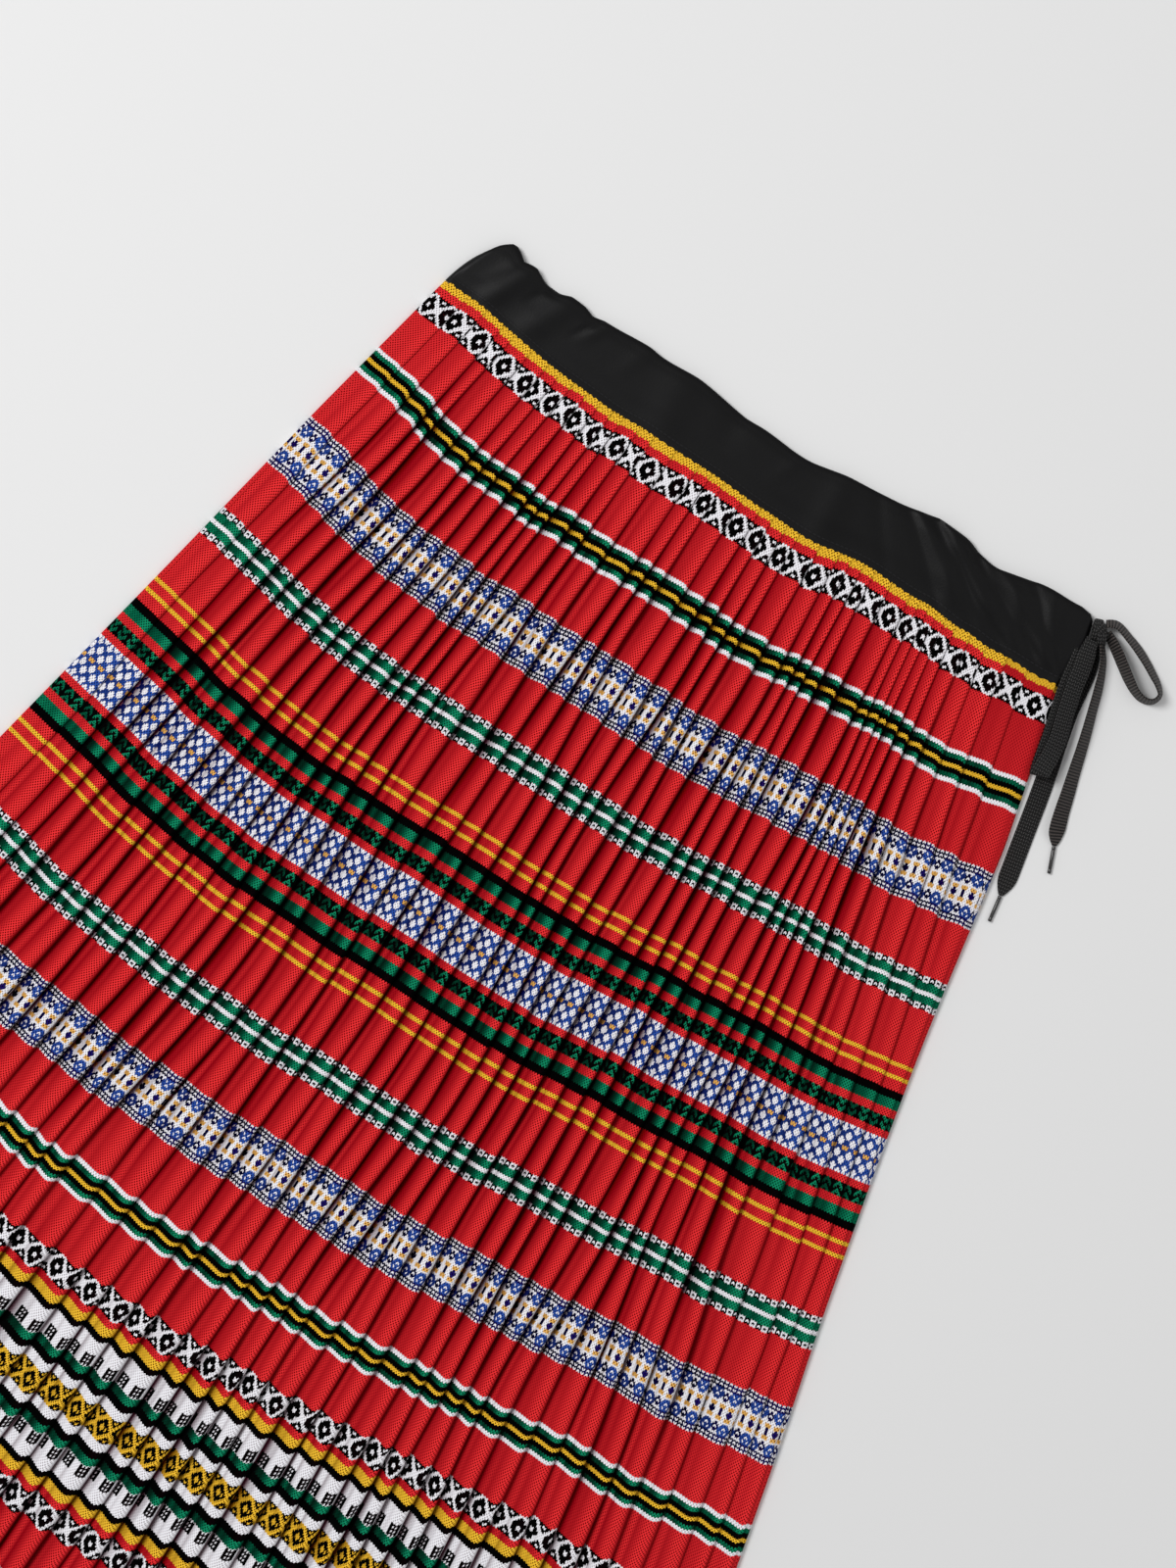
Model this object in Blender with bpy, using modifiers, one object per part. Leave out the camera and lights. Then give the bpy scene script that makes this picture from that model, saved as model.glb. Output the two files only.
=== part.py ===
"""A pleated, knitted folk skirt with a drawstring waistband, laid flat with its front up.

Metres. +Z is up from the surface that it lies on, and +Y points from the hem to the waist.
The cloth lies as a flat fan: each row of it is an arc about one apex, far beyond the waist.
"Across" runs from 0 at the wearer's right side (-X) to 1 at the other, and "down" is the
distance along the cloth from the waistband's seam to the hem.
"""
import math

import bmesh
import bpy
from mathutils import Vector

MM = 0.001

# Driving sizes of the fan
HALF_ANGLE = math.radians(12.15)
SEAM_RADIUS = 878.5 * MM
CLOTH_LENGTH = 801.5 * MM
APEX_Y = 1257.2 * MM

# Walls, and the gaps between pieces
KNIT_WALL = 1.2 * MM
BACK_WALL = 1.2 * MM
BACK_RIPPLE = 1.0 * MM
BAND_WALL = 2.0 * MM
SEAM_GAP = 0.3 * MM
FRONT_Z = BACK_WALL + BACK_RIPPLE + SEAM_GAP

# How the cloth turns down at the two sides, round the edge of the back
SIDE_ROLL = 2.4 * MM
ROLL_RISE = 2.0 * MM
BAND_ROLL_RISE = 3.2 * MM

# A crease's underside is a sharp fold, so it reaches this much lower than a level wall's
CREASE_ROOM = 0.5 * MM
# A wall's ends lean a little with its slope, so a seam is drawn this much wider
SEAM_EASE = 0.15 * MM

# Pleats: the cloth taken by one, as a share of its pitch at the hem, and its tallest form
PLEAT_CLOTH = 1.06
PLEAT_ROUNDING = 0.8
PLEAT_LIMIT = 5.0 * MM
PLEAT_STEEPNESS = 0.56
FLATTEST = 0.3

# One pleat from crease to crease: a long slope, a round ridge and a short steep fall.
# Columns: across, height.
PLEAT_SHAPE = (
    (0.00, 0.00),
    (0.14, 0.17),
    (0.42, 0.67),
    (0.63, 0.95),
    (0.79, 1.00),
    (0.93, 0.70),
)

# The back is pressed flat under the front, so its pleats are only low waves on its upper
# side. Columns: across, height.
RIPPLE_SHAPE = (
    (0.00, 0.00),
    (0.45, 0.80),
    (0.80, 1.00),
)

# How far down the cloth the creases are placed, and how full the pleats are there
STATION_COLUMNS = ("down", "fullness")
STATIONS = (
    (0.0 * MM, 0.14),
    (28.0 * MM, 0.50),
    (92.0 * MM, 0.95),
    (206.0 * MM, 1.00),
    (341.0 * MM, 1.00),
    (451.0 * MM, 1.00),
    (535.0 * MM, 1.00),
    (655.0 * MM, 1.00),
    (CLOTH_LENGTH, 1.00),
)

# Each crease, in thousandths of the way across, at four distances below the seam, with the
# depth of the pleat that ends at it. The first and last rows are the skirt's two sides.
CREASE_STATIONS = (92.0 * MM, 206.0 * MM, 341.0 * MM, 451.0 * MM)
CREASE_COLUMNS = ("hip", "thigh", "knee", "calf", "depth")
CREASES = (
    (-4, -1, 0, 0, 0.00),
    (31, 30, 34, 34, 0.25),
    (64, 59, 63, 61, 0.45),
    (96, 85, 85, 83, 0.80),
    (116, 109, 109, 109, 0.95),
    (148, 138, 141, 139, 0.90),
    (178, 167, 171, 169, 1.00),
    (198, 191, 193, 192, 0.95),
    (221, 213, 222, 220, 0.80),
    (245, 241, 252, 242, 0.90),
    (268, 268, 278, 268, 1.00),
    (288, 286, 298, 288, 1.00),
    (305, 307, 326, 311, 1.00),
    (333, 331, 353, 345, 0.95),
    (356, 368, 383, 378, 0.85),
    (392, 400, 408, 405, 0.90),
    (430, 428, 435, 432, 0.90),
    (450, 455, 462, 453, 1.00),
    (472, 482, 490, 483, 1.00),
    (505, 507, 511, 503, 0.80),
    (533, 533, 537, 525, 0.95),
    (555, 550, 558, 544, 1.00),
    (577, 577, 580, 566, 1.00),
    (598, 597, 602, 590, 1.00),
    (631, 621, 619, 615, 0.95),
    (660, 650, 644, 639, 1.00),
    (678, 670, 669, 665, 1.00),
    (696, 693, 691, 684, 1.00),
    (714, 712, 710, 702, 1.00),
    (742, 734, 729, 722, 1.00),
    (773, 760, 756, 741, 0.95),
    (789, 784, 777, 764, 1.00),
    (803, 801, 794, 791, 0.90),
    (817, 818, 812, 818, 0.70),
    (832, 836, 834, 844, 0.85),
    (850, 858, 859, 871, 0.95),
    (874, 882, 887, 897, 1.00),
    (901, 914, 919, 926, 0.60),
    (934, 943, 956, 956, 0.50),
    (968, 972, 979, 978, 0.45),
    (1012, 998, 996, 1000, 0.25),
)
HEM_EVENING = 0.5

# The waistband: how far its seam drops below the seam's arc, and its own height
BAND_LINE_COLUMNS = ("across", "seam_drop", "height")
BAND_LINE = (
    (0.00, 7.0 * MM, 31.0 * MM),
    (0.06, 4.5 * MM, 34.0 * MM),
    (0.17, 4.3 * MM, 34.5 * MM),
    (0.27, 3.0 * MM, 37.5 * MM),
    (0.35, 0.5 * MM, 39.0 * MM),
    (0.45, -0.5 * MM, 36.0 * MM),
    (0.54, 1.0 * MM, 34.0 * MM),
    (0.61, 2.5 * MM, 38.0 * MM),
    (0.69, 0.0 * MM, 35.5 * MM),
    (0.79, 4.0 * MM, 40.0 * MM),
    (0.86, 8.5 * MM, 37.0 * MM),
    (0.91, 12.0 * MM, 40.0 * MM),
    (1.00, 16.5 * MM, 38.5 * MM),
)
SAG_FADE = 200.0 * MM
BAND_LEAN = 5.4 * MM

# The waistband from its seam to its folded top edge: how far up, and how far the wall stands
BAND_SHAPE_COLUMNS = ("up", "rise")
BAND_SHAPE = (
    (0.00, 0.5 * MM),
    (0.14, 0.1 * MM),
    (0.45, 1.0 * MM),
    (0.80, 1.1 * MM),
    (0.95, 0.5 * MM),
    (1.00, -0.1 * MM),
)

# The band's largest soft folds: where each lies, how it slants, its half width and its height
BAND_FOLD_COLUMNS = ("across", "slant", "half_width", "height")
BAND_FOLDS = (
    (0.055, 0.010, 0.016, 1.0 * MM),
    (0.125, 0.015, 0.020, 0.8 * MM),
    (0.340, -0.030, 0.030, 0.6 * MM),
    (0.610, -0.020, 0.022, 0.6 * MM),
    (0.800, -0.045, 0.018, 1.3 * MM),
    (0.860, -0.050, 0.014, 1.0 * MM),
    (0.910, -0.045, 0.013, 1.2 * MM),
    (0.960, -0.030, 0.012, 1.3 * MM),
)
BAND_STEPS = 72
BACK_BAND_STEPS = 30

# The flat braided drawstring, tied in a bow off the band's end. Its routes are read from the
# knot's middle, in millimetres. "Lift" is above where the braid would touch the surface, and
# "tilt" turns its width up from lying flat, in degrees. Columns: x, y, lift, width, tilt.
KNOT_ACROSS = 191.4 * MM
KNOT_BELOW_APEX = 840.5 * MM
KNOT_HALF_SIZE = Vector((5.2, 6.4, 4.2)) * MM
KNOT_TURN = math.radians(20)
BRAID_WALL = 1.3 * MM
FLOOR_CLEARANCE = 0.05 * MM

ROUTES = {
    "drawstring_loop_1": (
        (2.8, 7.6, 1.5, 5.0, 50),
        (7.0, 8.3, 1.0, 7.0, 58),
        (15.0, 5.4, 0.5, 9.0, 60),
        (22.5, 2.6, 0.2, 10.0, 60),
        (29.6, -0.9, 0.1, 10.0, 62),
        (35.0, -4.0, 0.0, 10.0, 64),
        (39.5, -6.8, 0.0, 10.0, 68),
        (43.2, -10.8, 0.0, 10.0, 74),
        (41.6, -15.6, 0.0, 10.0, 76),
        (36.5, -17.2, 0.0, 10.0, 74),
        (31.0, -15.6, 0.0, 10.0, 70),
        (25.3, -12.2, 0.1, 10.0, 64),
        (19.0, -7.8, 0.2, 10.0, 62),
        (13.0, -3.6, 0.5, 8.0, 58),
        (8.8, -0.8, 1.0, 5.0, 50),
        (6.4, 0.6, 1.5, 4.0, 40),
    ),
    "drawstring_end_1": (
        (4.9, -4.9, 1.2, 4.0, 60),
        (7.4, -8.2, 0.8, 6.0, 64),
        (10.4, -13.0, 0.2, 8.5, 64),
        (14.6, -23.7, 0.0, 10.0, 60),
        (18.2, -35.5, 0.0, 10.0, 58),
        (21.8, -47.3, 0.0, 10.0, 54),
        (24.8, -58.2, 0.0, 10.0, 50),
        (27.4, -68.2, 0.0, 10.0, 46),
        (30.1, -77.9, 0.0, 10.0, 40),
        (32.7, -87.9, 0.0, 10.0, 34),
        (35.4, -96.4, 0.0, 9.6, 26),
        (37.4, -101.2, 0.0, 6.0, 16),
        (38.6, -104.2, 0.2, 2.2, 0),
    ),
    "drawstring_loop_2": (
        (-0.6, -6.9, 3.2, 4.0, 0),
        (-0.6, -12.0, 3.0, 7.0, 8),
        (-0.4, -21.0, 3.0, 10.0, 16),
        (0.9, -32.8, 3.1, 10.0, 18),
        (4.2, -45.8, 3.1, 10.0, 18),
        (7.1, -56.9, 3.1, 10.0, 18),
        (9.4, -67.0, 3.4, 10.0, 14),
        (11.0, -73.0, 4.2, 10.0, 4),
        (11.9, -76.4, 4.6, 10.0, 0),
        (12.4, -78.0, 6.4, 10.0, 0),
        (12.2, -76.4, 8.2, 10.0, 0),
        (12.0, -72.0, 7.8, 10.0, 2),
        (12.0, -66.0, 6.0, 10.0, 10),
        (10.8, -56.9, 4.7, 10.0, 16),
        (7.7, -45.8, 4.6, 10.0, 18),
        (4.4, -32.8, 4.6, 10.0, 18),
        (2.9, -21.0, 4.7, 9.0, 14),
        (1.6, -12.0, 5.4, 6.0, 6),
        (0.6, -7.4, 5.4, 4.0, 0),
    ),
    "drawstring_end_2": (
        (1.6, -5.6, 0.6, 4.0, 0),
        (4.0, -13.0, 0.2, 8.0, 0),
        (5.6, -21.5, 0.0, 10.0, 0),
        (8.4, -41.5, 0.0, 10.0, 0),
        (12.0, -58.0, 0.0, 10.0, 0),
        (15.0, -70.0, 0.0, 10.0, 0),
        (17.3, -80.5, 0.0, 10.0, 0),
        (19.3, -90.0, 0.0, 10.0, 0),
        (21.6, -101.5, 0.0, 10.0, 0),
        (23.9, -113.0, 0.0, 10.0, 0),
        (26.2, -124.5, 0.0, 10.0, 0),
        (27.6, -132.0, 0.0, 9.6, 0),
        (28.4, -137.0, 0.0, 6.0, 0),
        (28.9, -140.2, 0.2, 2.2, 0),
    ),
}
SMOOTHING_STEPS = 2
# Where the braid climbs more steeply than this, its rims keep the direction that they had
STEEP_TURN = 0.6

AGLET_RADIUS = 1.0 * MM
AGLET_LENGTH = 14.0 * MM
AGLET_GAP = 0.3 * MM


def between(table, columns, name, where):
    """Read a column of a table at a place between its rows, easing from row to row."""
    column = columns.index(name)
    if where <= table[0][0]:
        return table[0][column]
    for low, high in zip(table, table[1:]):
        if where <= high[0]:
            share = (where - low[0]) / (high[0] - low[0])
            eased = share * share * (3 - 2 * share)
            return low[column] + (high[column] - low[column]) * eased
    return table[-1][column]


def smooth_between(places, values, where):
    """Read a value between known ones, on one smooth curve through them all."""
    last = len(places) - 1
    where = min(max(where, places[0]), places[-1])
    number = next(n for n in range(last) if where <= places[n + 1])
    slopes = []
    for n in (number, number + 1):
        low, high = max(n - 1, 0), min(n + 1, last)
        slopes.append((values[high] - values[low]) / (places[high] - places[low]))
    span = places[number + 1] - places[number]
    t = (where - places[number]) / span
    return (
        values[number] * (1 + 2 * t) * (1 - t) ** 2
        + values[number + 1] * t * t * (3 - 2 * t)
        + slopes[0] * span * t * (1 - t) ** 2
        - slopes[1] * span * t * t * (1 - t)
    )


def fan_point(arc, radius, height):
    """A point that lies an arc's length off the skirt's middle, at a radius from the apex."""
    angle = arc / radius
    return Vector((radius * math.sin(angle), APEX_Y - radius * math.cos(angle), height))


def cloth_radius(across, down):
    """The radius of a row of the cloth, which hangs lower near the waist's right end."""
    sag = between(BAND_LINE, BAND_LINE_COLUMNS, "seam_drop", across)
    return SEAM_RADIUS + down + sag * math.exp(-down / SAG_FADE)


def crease_places(down):
    """Where every crease is at a distance below the seam, as shares of the way across."""
    last = len(CREASES) - 1
    places = []
    for number, row in enumerate(CREASES):
        shares = [value / 1000 for value in row[:4]]
        hem_share = shares[-1] + (number / last - shares[-1]) * HEM_EVENING
        stations = CREASE_STATIONS + (CLOTH_LENGTH,)
        places.append(smooth_between(stations, shares + [hem_share], down))
    return places


def pleat_height(number, pitch, fullness):
    """How tall a pleat stands, from the cloth in it and the room that it has."""
    hem_places = crease_places(CLOTH_LENGTH)
    hem_width = 2 * HALF_ANGLE * (SEAM_RADIUS + CLOTH_LENGTH)
    hem_pitch = (hem_places[number + 1] - hem_places[number]) * hem_width
    cloth = PLEAT_CLOTH * max(hem_pitch, pitch)
    standing = math.sqrt(max(cloth**2 - pitch**2, (FLATTEST * cloth) ** 2)) / 2
    tallest = min(standing * PLEAT_ROUNDING, PLEAT_STEEPNESS * pitch, PLEAT_LIMIT)
    return tallest * fullness * CREASES[number + 1][CREASE_COLUMNS.index("depth")]


def pleated_row(down, shape, inset):
    """One row of pleated cloth: each point's share across, its arc and its height."""
    fullness = between(STATIONS, STATION_COLUMNS, "fullness", down)
    half_arc = HALF_ANGLE * (SEAM_RADIUS + down)
    places = crease_places(down)
    row = []
    for number, (left, right) in enumerate(zip(places, places[1:])):
        start = (2 * left - 1) * half_arc
        pitch = (2 * right - 1) * half_arc - start
        height = pleat_height(number, pitch, fullness)
        for across, rise in shape:
            row.append((left + (right - left) * across, start + pitch * across, height * rise))
    row.append((places[-1], (2 * places[-1] - 1) * half_arc, 0.0))
    sides = (row[0][1], row[-1][1])
    squeeze = 1 - 2 * inset / (sides[1] - sides[0])
    middle = (sides[0] + sides[1]) / 2
    return [(share, middle + (arc - middle) * squeeze, rise) for share, arc, rise in row]


def cloth_grid(name, columns, rows, place):
    """A cloth surface: a grid whose points are put where place(column, row) says."""
    grid = bmesh.new()
    bmesh.ops.create_grid(grid, x_segments=columns, y_segments=rows, size=0.5)
    for vertex in grid.verts:
        column = round((vertex.co.x + 0.5) * columns)
        row = round((vertex.co.y + 0.5) * rows)
        vertex.co = place(column, row)
    mesh = bpy.data.meshes.new(name)
    grid.to_mesh(mesh)
    grid.free()
    return bpy.data.objects.new(name, mesh)


def thicken(cloth, wall, offset=0.0, even=True):
    """Give a cloth surface its wall."""
    solidify = cloth.modifiers.new("wall", "SOLIDIFY")
    solidify.thickness = wall
    solidify.offset = offset
    solidify.use_even_offset = even
    return cloth


def fill_down(cloth):
    """Close a cloth surface down to one flat face at the level that it rests on."""
    solid = bmesh.new()
    solid.from_mesh(cloth.data)
    lowered = bmesh.ops.extrude_face_region(solid, geom=solid.faces[:], use_keep_orig=True)
    for item in lowered["geom"]:
        if isinstance(item, bmesh.types.BMVert):
            item.co.z = 0.0
    underside = [item for item in lowered["geom"] if isinstance(item, bmesh.types.BMFace)]
    bmesh.ops.dissolve_faces(solid, faces=underside)
    bmesh.ops.recalc_face_normals(solid, faces=solid.faces[:])
    solid.to_mesh(cloth.data)
    solid.free()
    return cloth


def make_skirt_front():
    """The front panel: pleats from side to side, turned down round the back's edges."""
    rows = []
    outer = SIDE_ROLL - KNIT_WALL / 2
    valley = FRONT_Z + KNIT_WALL / 2 + CREASE_ROOM
    for down, _ in reversed(STATIONS):
        pleats = pleated_row(down, PLEAT_SHAPE, SIDE_ROLL)
        left, right = pleats[0][1], pleats[-1][1]
        points = [(pleats[0][0], left - outer, 0.0), (pleats[0][0], left - outer, ROLL_RISE)]
        points += [(share, arc, valley + rise) for share, arc, rise in pleats]
        points += [(pleats[-1][0], right + outer, ROLL_RISE), (pleats[-1][0], right + outer, 0.0)]
        top_gap = SEAM_GAP + SEAM_EASE if down == 0 else 0.0
        rows.append(
            [fan_point(arc, cloth_radius(share, down) + top_gap, z) for share, arc, z in points]
        )
    panel = cloth_grid(
        "skirt_front", len(rows[0]) - 1, len(rows) - 1, lambda column, row: rows[row][column]
    )
    return thicken(panel, KNIT_WALL)


def make_skirt_back():
    """The back panel: flat where it rests, with the low waves of its pleats above."""
    rows = []
    for down in (CLOTH_LENGTH,) + CREASE_STATIONS[::-1] + (0.0,):
        pleats = pleated_row(down, RIPPLE_SHAPE, KNIT_WALL + SEAM_GAP)
        tallest = max(rise for _, _, rise in pleats)
        top_gap = SEAM_GAP + SEAM_EASE if down == 0 else 0.0
        rows.append(
            [
                fan_point(
                    arc,
                    cloth_radius(share, down) + top_gap,
                    BACK_WALL + BACK_RIPPLE * rise / tallest,
                )
                for share, arc, rise in pleats
            ]
        )
    panel = cloth_grid(
        "skirt_back", len(rows[0]) - 1, len(rows) - 1, lambda column, row: rows[row][column]
    )
    return fill_down(panel)


def band_point(across, up, inset, height):
    """A point of the waistband, a share of the way across and of the way up from its seam."""
    seam_drop = between(BAND_LINE, BAND_LINE_COLUMNS, "seam_drop", across)
    tall = between(BAND_LINE, BAND_LINE_COLUMNS, "height", across)
    radius = SEAM_RADIUS + seam_drop - tall * up
    arc = (2 * across - 1) * (HALF_ANGLE * radius - inset) + BAND_LEAN * up
    return fan_point(arc, radius, height)


def band_fold(across, up):
    """How far the band's soft folds lift it at a point."""
    lift = 0.0
    for place, slant, half_width, height in BAND_FOLDS:
        off = (across - place - slant * (up - 0.5)) / half_width
        lift += height * math.exp(-off * off)
    return lift


def make_waistband_front():
    """The front of the band: a soft casing with a folded top edge and a few slack folds."""
    ups = [up for up, _ in BAND_SHAPE]
    rows = []
    middle = FRONT_Z + BAND_WALL / 2
    for up in ups:
        rise = between(BAND_SHAPE, BAND_SHAPE_COLUMNS, "rise", up)
        side = BAND_WALL / 2
        row = [band_point(0.0, up, side, 0.0), band_point(0.0, up, side, BAND_ROLL_RISE)]
        for step in range(BAND_STEPS + 1):
            across = step / BAND_STEPS
            slack = min(1.0, 6 * up) * band_fold(across, up)
            row.append(band_point(across, up, SIDE_ROLL + BAND_WALL / 2, middle + rise + slack))
        row += [band_point(1.0, up, side, BAND_ROLL_RISE), band_point(1.0, up, side, 0.0)]
        rows.append(row)
    band = cloth_grid(
        "waistband_front", len(rows[0]) - 1, len(rows) - 1, lambda column, row: rows[row][column]
    )
    return thicken(band, BAND_WALL)


def make_waistband_back():
    """The back of the band, lying flat under the front of it."""
    ups = (0.0, 0.5, 1.0)
    inset = BAND_WALL + SEAM_GAP
    band = cloth_grid(
        "waistband_back",
        BACK_BAND_STEPS,
        len(ups) - 1,
        lambda column, row: band_point(column / BACK_BAND_STEPS, ups[row], inset, 0.0),
    )
    return thicken(band, BAND_WALL, offset=1.0)


def smooth_route(rows):
    """The rows of a route with more between them, on one smooth curve through them all."""
    ends = [rows[0]] + list(rows) + [rows[-1]]
    route = []
    for before, start, end, after in zip(ends, ends[1:], ends[2:], ends[3:]):
        for step in range(SMOOTHING_STEPS):
            t = step / SMOOTHING_STEPS
            route.append(
                tuple(
                    0.5
                    * (
                        2 * b
                        + (c - a) * t
                        + (2 * a - 5 * b + 4 * c - d) * t * t
                        + (3 * b - a - 3 * c + d) * t**3
                    )
                    for a, b, c, d in zip(before, start, end, after)
                )
            )
    route.append(tuple(rows[-1]))
    return route


def braid_rims(rows):
    """The two rims of a flat braid along its route, in metres in the part's frame."""
    knot = Vector((KNOT_ACROSS, APEX_Y - KNOT_BELOW_APEX, 0.0))
    route = smooth_route(rows)
    centres = []
    for x, y, lift, width, tilt in route:
        lean = abs(math.radians(tilt))
        resting = width / 2 * MM * math.sin(lean) + BRAID_WALL / 2 * math.cos(lean)
        centres.append(knot + Vector((x * MM, y * MM, lift * MM + resting + FLOOR_CLEARANCE)))
    rims = []
    up = Vector((0, 0, 1))
    side = (centres[1] - centres[0]).cross(up).normalized()
    for number, (row, centre) in enumerate(zip(route, centres)):
        ahead = centres[min(number + 1, len(centres) - 1)]
        behind = centres[max(number - 1, 0)]
        along = (ahead - behind).normalized()
        level = along.cross(up)
        if level.length > STEEP_TURN:
            side = level.normalized() * math.copysign(1, level.dot(side))
        tilt = math.radians(row[4])
        reach = side * math.cos(tilt) + up * math.sin(tilt)
        reach -= along * reach.dot(along)
        reach = reach.normalized() * row[3] / 2 * MM
        rims.append((centre + reach, centre - reach))
    return rims


def make_braid(name, rows):
    """One stretch of the drawstring: a flat strip along its route, with its wall."""
    rims = braid_rims(rows)
    strip = cloth_grid(name, len(rims) - 1, 1, lambda column, row: rims[column][row])
    return thicken(strip, BRAID_WALL, even=False)


def make_aglet(name, rows):
    """The hard tip beyond the end of a braid, in line with it."""
    tip, before = (sum(rims, Vector()) / 2 for rims in reversed(braid_rims(rows)[-2:]))
    along = (tip - before).to_2d().normalized().to_3d()
    middle = tip + along * (AGLET_GAP + AGLET_LENGTH / 2)
    middle.z = AGLET_RADIUS + FLOOR_CLEARANCE
    bpy.ops.mesh.primitive_cylinder_add(
        vertices=12, radius=AGLET_RADIUS, depth=AGLET_LENGTH, location=middle
    )
    aglet = bpy.context.object
    aglet.name = aglet.data.name = name
    aglet.rotation_euler = along.to_track_quat("Z", "Y").to_euler()
    aglet.data.shade_smooth()
    return aglet


def make_knot():
    """The bow's knot: a small round lump beside the band's end."""
    place = Vector((KNOT_ACROSS, APEX_Y - KNOT_BELOW_APEX, KNOT_HALF_SIZE.z + FLOOR_CLEARANCE))
    bpy.ops.mesh.primitive_uv_sphere_add(segments=14, ring_count=9, radius=1.0, location=place)
    knot = bpy.context.object
    knot.name = knot.data.name = "drawstring_knot"
    knot.scale = KNOT_HALF_SIZE
    knot.rotation_euler.z = KNOT_TURN
    knot.data.shade_smooth()
    return knot


def make_material(name, colour, roughness, metallic=0.0):
    """A plain Principled material."""
    material = bpy.data.materials.new(name)
    material.use_nodes = True
    shader = material.node_tree.nodes["Principled BSDF"]
    shader.inputs["Base Color"].default_value = (*colour, 1.0)
    shader.inputs["Roughness"].default_value = roughness
    shader.inputs["Metallic"].default_value = metallic
    return material


def main():
    for item in list(bpy.data.objects):
        bpy.data.objects.remove(item, do_unlink=True)
    collection = bpy.data.collections.new("folk_skirt")
    bpy.context.scene.collection.children.link(collection)

    front_knit = make_material("front_knit", (0.60, 0.015, 0.035), 0.85)
    back_knit = make_material("back_knit", (0.50, 0.012, 0.030), 0.85)
    band_jersey = make_material("band_jersey", (0.012, 0.011, 0.012), 0.80)
    braid = make_material("braid", (0.020, 0.019, 0.019), 0.75)
    tip_plastic = make_material("tip_plastic", (0.010, 0.010, 0.010), 0.25)

    pieces = [
        (make_skirt_front(), front_knit),
        (make_skirt_back(), back_knit),
        (make_waistband_front(), band_jersey),
        (make_waistband_back(), band_jersey),
        (make_knot(), braid),
    ]
    pieces += [(make_braid(name, rows), braid) for name, rows in ROUTES.items()]
    for number in (1, 2):
        route = ROUTES[f"drawstring_end_{number}"]
        pieces.append((make_aglet(f"aglet_{number}", route), tip_plastic))

    for piece, material in pieces:
        for owner in list(piece.users_collection):
            owner.objects.unlink(piece)
        collection.objects.link(piece)
        piece.data.materials.clear()
        piece.data.materials.append(material)


main()
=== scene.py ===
"""The looks of a pleated folk skirt laid flat: its knit, jersey and braid, the light and the camera.

Lengths are metres in the part's frame unless a name says otherwise. Cloth coordinates, which the
materials read, are millimetres: u along a course of stitches and v down the skirt.
"""
import math

import bmesh
import bpy
import numpy as np
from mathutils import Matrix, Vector


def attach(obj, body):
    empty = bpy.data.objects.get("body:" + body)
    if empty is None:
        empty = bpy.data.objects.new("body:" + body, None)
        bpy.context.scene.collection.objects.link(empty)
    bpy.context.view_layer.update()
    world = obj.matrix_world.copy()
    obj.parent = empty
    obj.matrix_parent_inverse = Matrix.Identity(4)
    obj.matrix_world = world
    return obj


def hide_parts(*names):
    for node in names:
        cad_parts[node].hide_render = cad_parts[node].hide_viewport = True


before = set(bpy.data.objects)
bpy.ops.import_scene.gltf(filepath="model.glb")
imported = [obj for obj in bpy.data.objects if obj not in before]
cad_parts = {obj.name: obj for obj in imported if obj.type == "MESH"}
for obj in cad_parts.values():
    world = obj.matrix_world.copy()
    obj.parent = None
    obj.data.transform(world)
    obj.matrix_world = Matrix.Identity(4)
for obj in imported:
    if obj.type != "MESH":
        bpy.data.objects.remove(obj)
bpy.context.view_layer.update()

MM = 0.001

# The fan that the skirt lies in, as in the part
HALF_ANGLE = math.radians(12.15)
SEAM_RADIUS = 878.5 * MM
CLOTH_LENGTH = 801.5 * MM
APEX_Y = 1257.2 * MM
SEAM_GAP = 0.3 * MM
SAG_FADE = 200.0 * MM
SIDE_ROLL = 2.4 * MM
WALL = 1.2 * MM

# Levels: the back's pleats, and the front's outer face where a pleat springs from
BACK_LOW = 1.2 * MM
BACK_RIPPLE = 1.0 * MM
FRONT_LEVEL = 4.2 * MM
VALLEY_DROP = 0.65 * MM

# The photo's frame on the part: 1200 by 1600 pixels at half a millimetre each
VIEW_X = 12.0 * MM
VIEW_BELOW_APEX = 1044.5 * MM
VIEW_TURN = math.radians(32.17)
VIEW_HEIGHT = 0.8
CAMERA_DISTANCE = 2.6
SENSOR = 36.0

# The lights. Columns: name, how far they lie towards the photo's right, its top and the camera,
# size, power in watts.
LIGHT_DISTANCE = 3.2
LIGHTS = (
    ("key", -0.75, 0.55, 1.35, 1.3, 62.0),
    ("fill", 0.9, 0.1, 1.2, 2.2, 10.0),
)

# Pleats, as in the part
PLEAT_CLOTH = 1.06
PLEAT_ROUNDING = 0.8
PLEAT_LIMIT = 5.0 * MM
PLEAT_STEEPNESS = 0.56
FLATTEST = 0.3
HEM_EVENING = 0.5
CREASE_STATIONS = (92.0 * MM, 206.0 * MM, 341.0 * MM, 451.0 * MM)

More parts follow.
